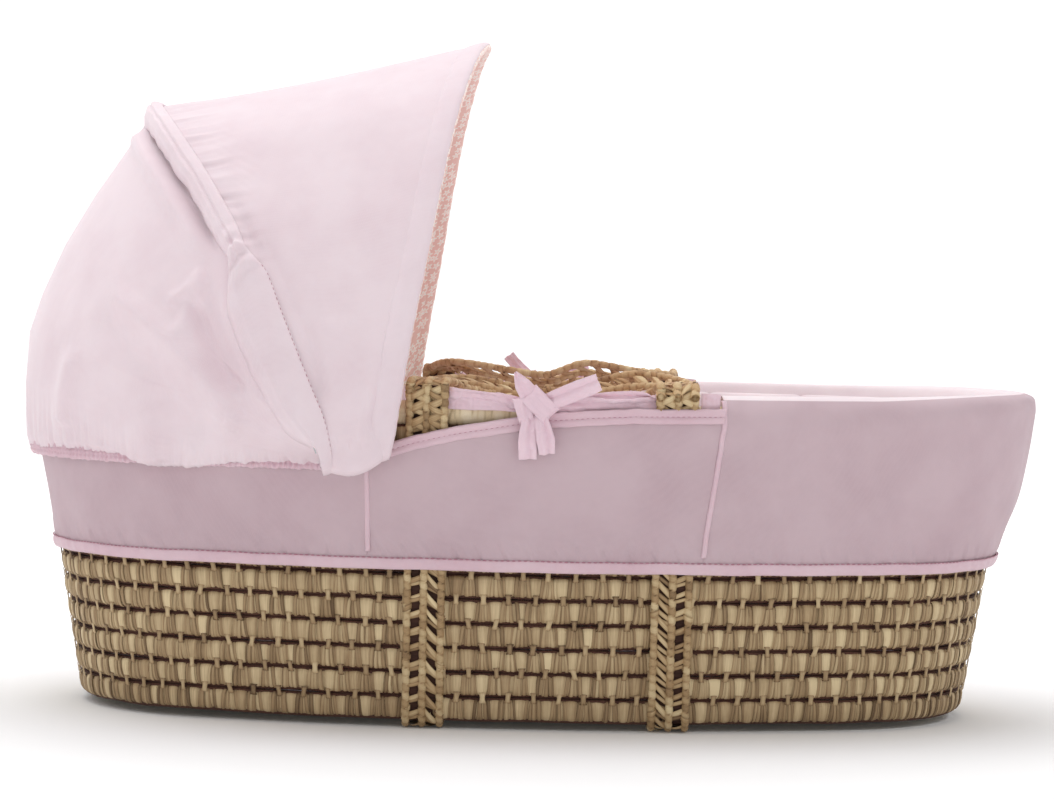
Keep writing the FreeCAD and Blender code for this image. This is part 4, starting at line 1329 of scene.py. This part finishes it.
def front_panel_points(v, t):
    """Points between the front edge, v = 0, and the sleeve, v = 1."""
    w = v[..., None]
    points = line_at(FRONT, t) * (1 - w) + line_at(SLEEVE, t) * w
    hang = np.sin(np.pi * v)
    sag = 4.0 * hang * smooth_step(-np.abs(t), -1.0, -0.86)
    points = push(points, sag, unit(HOOD_INSIDE - points))
    points[..., 2] -= 9.0 * hang * (1 - smooth_step(1 - np.abs(t), 0.01, 0.10))
    points[..., 1] += np.sign(points[..., 1]) * 3.5 * hang * bell(np.abs(t), 0.95, 0.06)
    return points


def front_panel():
    """The outer cloth in front of the sleeve, with its folds and puckers."""
    v, t = panel_grid(86, 361)
    points = front_panel_points(v, t)
    way = t * FRONT_REACH
    amount = front_folds(points) * smooth_step(v, 0.12, 0.30)
    amount += 1.0 * slow_wave(way, 71.0, 150.0) * np.sin(np.pi * v)
    pucker = 1.2 * slow_wave(way, 72.0, 13.0) * bell(v, 1.0, 0.10)
    pucker = pucker + 1.8 * slow_wave((t + 0.02 * v) * FRONT_REACH, 76.0, 24.0) * bell(v, 0.93, 0.09)
    amount += pucker * (0.35 + 0.65 * smooth_step(points[..., 2], 330, 390))
    amount += 0.35 * slow_wave(way, 73.0, 17.0) * bell(v, 0.045, 0.05)
    amount -= 0.5 * bell(v, 0.062, 0.012)
    points = push(points, amount, hood_normals(points))
    piece = cloth("hood_front_cloth", points, 1.1, HOOD_COTTON, hood_normals(points),
                  nodes=["hood_front_panel"])
    blend_front(piece)


def front_lining():
    """The front panel's inside, a little smaller, with its own soft waves."""
    v, t = panel_grid(44, 281, 0.05, 1.0, 0.925)
    points = front_panel_points(v, t)
    way = t * FRONT_REACH
    depth = -7.5 - 1.0 * slow_wave(way, 74.0, 120.0) + 0.5 * slow_wave(way, 75.0, 38.0)
    lining = star_lining("front", points, depth + np.minimum(0.9 * front_folds(points), 0))
    blend_front(lining)


# The turned front edge, as (back, out) from the edge line: outside, round the wire and inside.
EDGE_TURN = [
    (19.0, -2.2), (15.0, -0.2), (11.0, 0.5), (7.0, 0.8), (2.5, 1.0), (-1.0, 0.4), (-3.0, -1.5),
    (-3.4, -4.0), (-2.2, -6.4), (1.5, -7.6), (6.0, -7.9), (11.0, -8.0), (16.0, -8.0), (21.0, -7.8),
]


def front_edge_fold():
    """The cloth turned round the front bow, with the star print on its inner side."""
    t = np.linspace(-1, 1, 481)
    edge = line_at(FRONT, t)
    back = line_at(SLEEVE, t) - edge
    out = hood_normals(np.stack([edge, edge + back * 0.1]))[0]
    back = unit(square_to(back, out))
    wobble = 0.45 * slow_wave(t * FRONT_REACH, 81.0, 19.0)[:, None]
    profile = smooth_line(EDGE_TURN, 37)
    grid = np.stack([edge + back * (p + wobble) + out * (q + 0.4 * wobble) for p, q in profile], 0)
    face = sheet_normals(grid)
    face = face * np.sign(np.sum(face[0] * out))
    split = 17
    trim = slice(16, -16)
    outer = cloth("hood_front_sleeve", grid[: split + 1], 1.0, HOOD_COTTON, face[: split + 1],
                  body="hood_front", nodes=["hood_front_casing"])
    inner = cloth("hood_front_facing", grid[split:, trim], 0.8, STAR_LINING,
                  face[split:, trim], body="hood_front")


def bow_wire(word, body, line, other, depth, back):
    """A round wire inside its sleeve."""
    node_name = f"{body}_bow"
    rows, sides, radius = 321, 14, 2.0
    middle, ahead, out = hood_frame(line, other, np.linspace(-0.935, 0.935, rows))
    angle = np.linspace(0, 2 * math.pi, sides, endpoint=False)[:, None]
    centre = middle + out * depth + ahead * back
    ring = centre[:, None] + (out[:, None] * np.cos(angle) + ahead[:, None] * np.sin(angle)) * radius
    made = make_piece(f"hood_wire_{word}", ring, grid_faces(rows, sides, False, True), BOW_WIRE)
    declare(made, body, [node_name])


KNOT_HEIGHT = 374.0
KNOT_PLACE = (-235.0, 372.0)


def sleeve():
    """The cloth sleeve that the middle bow runs in: narrow above its tack, wide and flat below."""
    t = np.linspace(-1, 1, 481)
    way = t * FRONT_REACH
    middle, ahead, out = hood_frame(SLEEVE, FRONT, t)
    z = middle[:, 2]
    low = 1 - smooth_step(z, 352, 384)
    knot = bell(z, KNOT_HEIGHT, 11.0)
    front = 9.0 + 6.5 * low * smooth_step(z, 205, 250) - 2.5 * knot
    rear = 11.0 + 19.0 * low * smooth_step(z, 212, 262) + 2.0 * low - 2.5 * knot
    rear = rear + 1.5 * slow_wave(way, 92.0, 70.0)
    thick = 4.8 - 1.2 * low + 3.4 * knot
    rough = 0.75 * slow_wave(way, 91.0, 11.0) * (0.45 + 1.4 * knot + 0.25 * (1 - low))
    q = np.linspace(0, 1, 33)[:, None]
    place = front * (1 - q) - rear * q
    crown = np.sin(np.clip(q * 1.02, 0, 1) * np.pi) ** 0.45
    fold = bell(q, 0.70, 0.07) * 1.5 * (1 - 0.5 * low) - bell(q, 0.52, 0.05) * 1.2 * (1 - low)
    crease = 0.9 * np.sin(q * 14.0 + t * 95.0) * (knot + 0.16 * (1 - low))
    from_knot_x = middle[:, 0] + ahead[:, 0] * place - KNOT_PLACE[0]
    from_knot_z = middle[:, 2] + ahead[:, 2] * place - KNOT_PLACE[1]
    away = (from_knot_x / 21.0) ** 2 + (from_knot_z / 15.0) ** 2
    slanted = np.cos((from_knot_x * 0.45 - from_knot_z * 0.89) * 2 * math.pi / 14.0 + 0.9)
    lift = 1.0 + thick * crown + rough * (1 - 0.4 * crown) + fold + crease
    lift = lift + np.exp(-away) * (2.2 + 4.6 * slanted) * crown**0.5
    lift = lift - smooth_step(q, 0.90, 1.0) * 4.4
    # Its rear part follows the rear panel, so that both meet the gathered edge together.
    span = np.linalg.norm(elastic_point(t, 214.0, 416.0) - middle, axis=-1)
    behind = np.clip(-place / span, 0, 1)
    rows_t = t + 0 * behind
    back = rear_points(behind, rows_t) - rear_points(0 * behind, rows_t)
    grid = middle + ahead * np.maximum(place, 0)[..., None] + back + out * lift[..., None]
    piece = cloth("hood_middle_sleeve", grid, 1.0, HOOD_COTTON, hood_normals(grid),
                  body="hood_mid", nodes=["hood_mid_casing"])
    seam = middle + ahead * (front - 0.6)[:, None] + out * 1.6
    trim = slice(14, -14)
    thread = stitch_row(
        "hood_sleeve_thread", seam[trim], out[trim], 4.4, "hood_mid", 2.9, 0.28,
    )


ELASTIC_FRONT = -128.0
REAR_MIDDLE = np.array([-150.0, 0.0, 0.0])
# The rear panel's fullness from the sleeve to the gathered edge, and how it dies out toward the feet.
FULL_PLACES = [0, 0.12, 0.25, 0.4, 0.55, 0.66, 0.81, 0.91, 0.97, 1.0]
FULLNESS = [0, 0.33, 0.68, 0.96, 1.07, 1.05, 0.70, 0.36, 0.14, 0.0]
SWELL_PLACES = [0, 0.35, 0.6, 0.8, 0.93, 1.0]
SWELLS = [34.0, 30.0, 24.0, 18.0, 10.0, 3.0]


def elastic_point(t, height, half_length):
    """On the gathered edge, for t from -1 at its near front end to 1 at its far one."""
    start = along_at(ELASTIC_FRONT, NEAR)
    reach = start - LAP / 2
    along = LAP / 2 - np.asarray(t) * reach
    return on_oval(along, height, half_length)


def sideways(points):
    """Level directions out from the middle of the basket's head end."""
    away = points - REAR_MIDDLE
    away[..., 2] = 0
    return unit(away)


def rear_points(v, t):
    """Points of the rear panel from under the sleeve, v = 0, to the gathered edge, v = 1."""
    top = line_at(SLEEVE, t)
    top = top + unit(HOOD_INSIDE - top) * 2.5
    hem = 214.0 + 2.5 * slow_wave(t * REAR_REACH, 95.0, 170.0)
    bottom = elastic_point(t, hem, 416.5 - 1.0 * np.abs(t))
    swell = np.interp(v, FULL_PLACES, FULLNESS) * np.interp(np.abs(t), SWELL_PLACES, SWELLS)
    w = v[..., None]
    return push(top * (1 - w) + bottom * w, swell, sideways(bottom))


def rear_panel():
    """The outer cloth behind the sleeve, which bags over its gathered edge."""
    v, t = panel_grid(120, 641)
    v = v**0.9
    way = t * REAR_REACH
    points = rear_points(v, t)
    amount = rear_folds(points)
    amount += 1.6 * slow_wave(way + v * 60, 96.0, 120.0) * np.sin(np.pi * v)
    gather = smooth_step(v, 0.78, 0.97)
    amount += gather * (1.9 * slow_wave(way, 97.0, 26.0) + 1.15 * slow_wave(way + v * 8, 98.0, 9.0))
    amount += 0.5 * bell(v, 1.0, 0.045) * slow_wave(way, 99.0, 4.2)
    points = push(points, amount, hood_normals(points))
    bag = smooth_step(v, 0.55, 0.93) * (1 - smooth_step(v, 0.955, 1.0))
    bag = bag * (0.12 + 0.95 * bell(np.abs(t), 0.60, 0.13) + 0.12 * slow_wave(way, 102.0, 110.0))
    points[..., 2] -= bag * 15.0
    points = push(points, bag * 4.5, sideways(points))
    piece = cloth("hood_rear_cloth", points, 1.1, HOOD_COTTON, hood_normals(points),
                  nodes=["hood_rear_panel"])
    blend_rear(piece)


def rear_lining():
    v, t = panel_grid(48, 281, 0.0, 0.90, 0.90)
    points = rear_points(v, t)
    depth = -8.0 - 6.0 * smooth_step(v, 0.7, 0.9) + 0.8 * slow_wave(t * REAR_REACH + v * 50, 103.0, 75.0)
    lining = star_lining("rear", points, depth + np.minimum(0.9 * rear_folds(points), 0))
    blend_rear(lining)


def elastic_edge():
    """The ruched elastic edge that grips the skirt."""
    t = np.linspace(-1, 1, 1500)
    way = t * REAR_REACH
    turn = np.linspace(0, 1, 17)[:, None]
    fine = np.sin(way * 2 * math.pi / 3.9 + 1.2 * slow_wave(way, 104.0, 30.0))
    coarse = slow_wave(way, 105.0, 11.0)
    height = 206.5 + 12.5 * turn + 0.9 * coarse * (1 - turn)
    bulge = np.sin(turn * math.pi).clip(0) ** 0.6
    half = 414.2 + 2.4 * bulge + 0.75 * fine * (0.35 + bulge) + 0.6 * coarse * bulge
    waist = 0.9 * bell(turn, 0.36, 0.07) + 0.8 * bell(turn, 0.66, 0.07)
    grid = elastic_point(t, height, half - waist)
    piece = cloth("hood_elastic_edge", grid, 1.0, HEM_COTTON,
                  surface_normals(grid, (-150, 0, 212)), body="basket", nodes=["hood_elastic_hem"])
    line_length(grid[8])


front_panel()
front_lining()
front_edge_fold()
sleeve()
bow_wire("middle", "hood_mid", SLEEVE, FRONT, 1.4, 0.0)
bow_wire("front", "hood_front", FRONT, SLEEVE, -3.4, 1.2)
rear_panel()
elastic_edge()
rear_lining()

# ------------------------------------------------------------------ carry handles


def handle_track(side, levels, tilt_points):
    """From the foot strap, in over the basket and back to the head strap."""
    left, right = STRAP_PLACES["head"], STRAP_PLACES["foot"]
    centre_reach = 93.5
    corner = 52.0
    clear = 7.0              # keeps the lifted handle off the hood's front edge
    inner_left = left + clear
    turn_start = centre_reach - corner
    turns = np.linspace(0.2, math.pi / 2, 7)
    bends = [(corner * (1 - math.cos(a)), turn_start + corner * math.sin(a)) for a in turns]
    plan = [(right, -5.0), (right, 0.0), (right, 14.0), (right, turn_start)]
    plan += [(right - x, reach) for x, reach in bends]
    plan += [(x, centre_reach) for x in np.linspace(right - corner - 12, left + corner + 12, 7)]
    plan += [(inner_left + x, reach) for x, reach in bends[::-1]]
    plan += [(inner_left, turn_start), (left + 0.3 * clear, 14.0), (left, 0.0), (left, -5.0)]
    plan = smooth_line(plan, 420)
    x, reach = plan.T
    tangent = unit(np.gradient(plan, axis=0))
    depth = smooth_step(reach, 12, 78)
    curve = smooth_line(levels, 120)
    level = 278.5 * (1 - depth) + np.interp(x, curve[:, 0], curve[:, 1]) * depth
    level = level - 9.0 * (1 - smooth_step(reach, -5, 5))
    points = stacked(x, side * (221.0 - reach * math.cos(math.radians(7))), level)
    tilt = np.radians(np.interp(x, *tilt_points)) * depth
    inner_x, inner_y = tangent[:, 1], -tangent[:, 0]
    return Track(points, stacked(inner_x, -side * inner_y * np.cos(tilt), np.sin(tilt) * np.abs(inner_y)))


# For each handle: its middle's height along the basket, and how far its inner edge is twisted up.
HANDLES = {
    "near": (
        NEAR,
        [(-90, 275), (-48, 274.5), (-18, 268.5), (8, 264.5), (33, 265.5), (58, 270), (85, 275), (128, 277)],
        ([-90, -40, 10, 45, 85, 130], [16, 26, 20, 26, 54, 40]),
    ),
    "far": (
        FAR,
        [(-94, 283), (-58, 280), (-19, 273), (16, 270.5), (47, 279), (70, 277), (93, 274), (128, 276)],
        ([-90, -60, -20, 20, 60, 130], [36, 40, 34, 26, 40, 30]),
    ),
}
for seed, (word, shape) in zip((300, 330), HANDLES.items()):
    handle = f"handle_{word}"
    parts = braid(handle_track(*shape), seed)
    palm_piece(f"handle_braid_{word}", parts, HANDLE_PALM, [handle], handle)

# ------------------------------------------------------------------ tie ribbons and bows


def ribbon(name, line, across, widths, fold, seed, nodes, wave=0.8, count=90):
    """A soft ribbon along a line, with a fold across its width."""
    track = Track(smooth_line(line, count), smooth_line(across, count))
    rows = np.linspace(-1, 1, 15)[:, None]
    along = np.linspace(0, track.length, count)
    wide = np.interp(along / track.length, np.linspace(0, 1, len(widths)), widths)
    crease = fold * (bell(rows, 0.25, 0.22) - 0.8 * bell(rows, -0.35, 0.2))
    lift = crease + wave * slow_wave(along + rows * 9, seed, 27.0) + 0.35 * slow_wave(along, seed + 1, 9.0)
    grid = track.at(along, rows * wide / 2, lift)
    piece = cloth(name, grid, 0.7, RIBBON_COTTON, sheet_normals(grid),
                  body="basket", nodes=nodes)


# The ribbons along the rim: (x, out from the rim, height) points, how they lie, widths, fold and seed.
TIES_ALONG = {
    "head": ([(-66, 8, 268.5), (-50, 11, 269), (-25, 12.5, 267), (-3, 15, 262)],
             ["up", "lean", "lean", "up"], [12, 12, 12, 9.5], 1.0, 111.0),
    "head_under": ([(-66, 6, 263.5), (-45, 9, 263), (-22, 10.5, 261.5), (-3, 13, 259)],
                   ["up"] * 4, [13, 13, 10, 7], -0.8, 113.0),
    "foot": ([(14, 15, 261.5), (40, 12.5, 262.5), (72, 11.5, 262.5), (104, 8, 263)],
             ["up", "up", "lean", "up"], [9, 13, 15, 15], 1.5, 115.0),
    "foot_over": ([(16, 13, 265), (44, 11, 267.5), (76, 10, 268.5), (104, 7, 270)],
                  ["up", "lean", "up", "flat"], [8, 9, 11, 11], 0.9, 117.0),
    "end": ([(137, 9, 266.5), (143, 9.5, 266.5), (152, 9, 266)], ["up"] * 3, [13, 13.5, 13], 0.6, 119.0),
}
TIE_NODES = {"head": "tie_ribbon_{}_head", "foot": "tie_ribbon_{}_foot"}


def ties(word, side):
    """The ribbons that lie along the rim on one side of the basket."""
    lies = {"up": (0.0, 0.0, 1.0), "lean": (0.0, side * 0.75, 0.7), "flat": (0.0, side * 0.95, -0.3)}
    for part, (places, lying, widths, fold, seed) in TIES_ALONG.items():
        line = [(x, side * (float(half_width_at(x, 403.0)) + out), z) for x, out, z in places]
        nodes = [TIE_NODES[part].format(word)] if part in TIE_NODES else []
        wave, count = (0.3, 30) if part == "end" else (0.8, 90)
        ribbon(f"ribbon_{part}_{word}", line, [lies[lie] for lie in lying], widths, fold, seed,
               nodes, wave, count)


KNOT_OUT = 229.0
ALONG_X = (1.0, 0.0, 0.1)
# The bow's ends: (x, height, out) points, direction across, widths and fold.
BOW_ENDS = {
    "point_end": ([(7.5, 260, 6), (2.5, 269, 9), (-4.5, 279, 8), (-9.5, 287.5, 5)],
                  (0.88, 0, 0.35), [13, 16, 12.5, 2.5], 1.3),
    "square_end": ([(8.5, 263, 8), (22.5, 267.5, 12), (38.5, 274, 11), (55.5, 281, 8)],
                   (-0.35, 0, 0.9), [10, 14.5, 15.5, 14], 1.7),
    "hanging_head": ([(3.5, 260, 6), (2, 249, 9), (1, 235, 6.5), (1.5, 219.5, 3)],
                     ALONG_X, [9, 12.5, 14.5, 14], 1.5),
    "hanging_foot": ([(9.5, 260, 8), (12, 249, 11), (15, 236, 8.5), (16.5, 224, 4)],
                     ALONG_X, [8, 11.5, 14.5, 12.5], 1.6),
}
FAR_POINT_END = ([(7.5, 262, 6), (-0.5, 272, 9), (-10.5, 282, 8), (-17.5, 290, 5)],
                 (0.94, 0, 0.2), [12, 12, 10.5, 10.5], 1.3)
# The knot's two wraps: middle, direction, half length, half width and half depth.
BOW_WRAPS = {
    "knot": ((10.5, 262.5), (0.72, -0.69), 12.5, 9.0, 8.5),
    "knot_side": ((-2.5, 258.5), (0.30, -0.95), 9.5, 6.5, 6.0),
}


def tied_bow(word, side):
    """The tied ends: two raised and two that hang, round a wrapped knot."""
    ends = dict(BOW_ENDS)
    if side == FAR:
        ends["point_end"] = FAR_POINT_END
    for index, (part, (places, across, widths, fold)) in enumerate(ends.items()):
        line = [(x, side * (KNOT_OUT + out), z) for x, z, out in places]
        nodes = [f"tie_bow_{word}"] if index == 0 else []
        ribbon(f"bow_{part}_{word}", line, [across] * 4, widths, fold, 121.0 + index * 3,
               nodes, 0.6, 56)
    for part, (middle, direction, long, wide, deep) in BOW_WRAPS.items():
        bow_wrap(f"bow_{part}_{word}", side, middle, direction, long, wide, deep)


def bow_wrap(name, side, middle, direction, long, wide, deep):
    """A flattened ring of ribbon round the knot."""
    x, z = middle
    dx, dz = direction
    out = KNOT_OUT + 5.5
    angle = np.linspace(0, 2 * math.pi, 72, endpoint=False)
    w = np.linspace(-1, 1, 15)[:, None]
    loop_long, loop_deep = section_point(angle, long, deep, 0.8)
    reach = loop_long * (1 + 0.10 * w**2)
    crease = 1 - 0.10 * bell(w, 0.3, 0.2) - 0.08 * bell(w, -0.45, 0.15)
    px = x + reach * dx - w * wide * dz * 0.95
    pz = z + reach * dz + w * wide * dx * 0.95
    grid = stacked(px, side * (out + loop_deep * crease + 0.5 * np.sin(angle * 3 + w * 2)), pz)
    made = cloth(name, grid, 0.8, RIBBON_COTTON, round_normals(grid, (x, side * out, z)),
                 closed=True, body="basket")
    line_length(grid[7])


for word, side in (("near", NEAR), ("far", FAR)):
    ties(word, side)
    tied_bow(word, side)

# ------------------------------------------------------------------ the hood's hard parts

for word in ("near", "far"):
    for part, finish in (("clip", CLIP_PLASTIC), ("pin", PIN_STEEL)):
        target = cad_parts[f"hood_{part}_{word}"]
        target.data.materials.clear()
        target.data.materials.append(finish)

# ------------------------------------------------------------------ floor, light and camera

# The floor's glow by distance in metres, and the sky's by direction, as they look in a white studio.
FLOOR_GLOW = {"From_Min": 0.45, "From_Max": 1.7, "To_Min": 0.02, "To_Max": 0.40}
SKY_GLOW = {"From_Min": -0.2, "From_Max": 0.96, "To_Min": 0.61, "To_Max": 1.11}
WHITE = (1.0, 1.0, 1.0, 1.0)


def faded(owner, source, target, settings):
    """Drives a strength with a value that fades from one level to another."""
    fade = node(owner, "ShaderNodeMapRange", **settings)
    link(owner, source, fade.inputs["Value"])
    link(owner, fade.outputs["Result"], target)


def floor():
    mesh = bpy.data.meshes.new("floor")
    reach = 14.0
    corners = [(-reach, -reach, 0), (reach, -reach, 0), (reach, reach, 0), (-reach, reach, 0)]
    mesh.from_pydata(corners, [], [(0, 1, 2, 3)])
    white = new_material("floor_white", Roughness=0.9, Specular_IOR_Level=0.1,
                         Base_Color=(0.95, 0.95, 0.95, 1), Emission_Color=WHITE)
    away = node(white, "ShaderNodeVectorMath", operation="LENGTH")
    link(white, node(white, "ShaderNodeTexCoord").outputs["Object"], away.inputs[0])
    faded(white, away.outputs["Value"], shader_of(white).inputs["Emission Strength"], FLOOR_GLOW)
    mesh.materials.append(white)
    made = bpy.data.objects.new("floor", mesh)
    SCENE.collection.objects.link(made)


def sky():
    world = bpy.data.worlds.new("studio")
    world.use_nodes = True
    background = world.node_tree.nodes["Background"]
    background.inputs["Color"].default_value = WHITE
    split = node(world, "ShaderNodeSeparateXYZ")
    link(world, node(world, "ShaderNodeTexCoord").outputs["Generated"], split.inputs["Vector"])
    faded(world, split.outputs["Y"], background.inputs["Strength"], SKY_GLOW)
    SCENE.world = world
    SCENE.view_settings.view_transform = "Standard"


def soft_light(name, place, target, wide, tall, power):
    data = bpy.data.lights.new(name, "AREA")
    data.shape = "RECTANGLE"
    data.size = wide
    data.size_y = tall
    data.energy = power
    made = bpy.data.objects.new(name, data)
    SCENE.collection.objects.link(made)
    made.location = place
    made.rotation_euler = (Vector(target) - Vector(place)).to_track_quat("-Z", "Y").to_euler()
    made.visible_camera = False


def camera():
    data = bpy.data.cameras.new("camera")
    data.sensor_width = 36.0
    data.lens = 121.4
    made = bpy.data.objects.new("camera", data)
    SCENE.collection.objects.link(made)
    made.location = (0.0, -3.0, 0.36)
    pitch = math.radians(1.95)
    roll = math.radians(1.25)
    tip = Matrix.Rotation(math.radians(90) - pitch, 4, "X") @ Matrix.Rotation(roll, 4, "Z")
    made.rotation_euler = tip.to_euler()
    SCENE.camera = made


floor()
sky()
soft_light("overhead", (-0.4, 0.3, 2.6), (-0.1, 0, 0.2), 2.8, 2.2, 36.0)
soft_light("front_fill", (0.6, -3.4, 1.5), (0, 0, 0.2), 2.4, 1.6, 6.0)
camera()
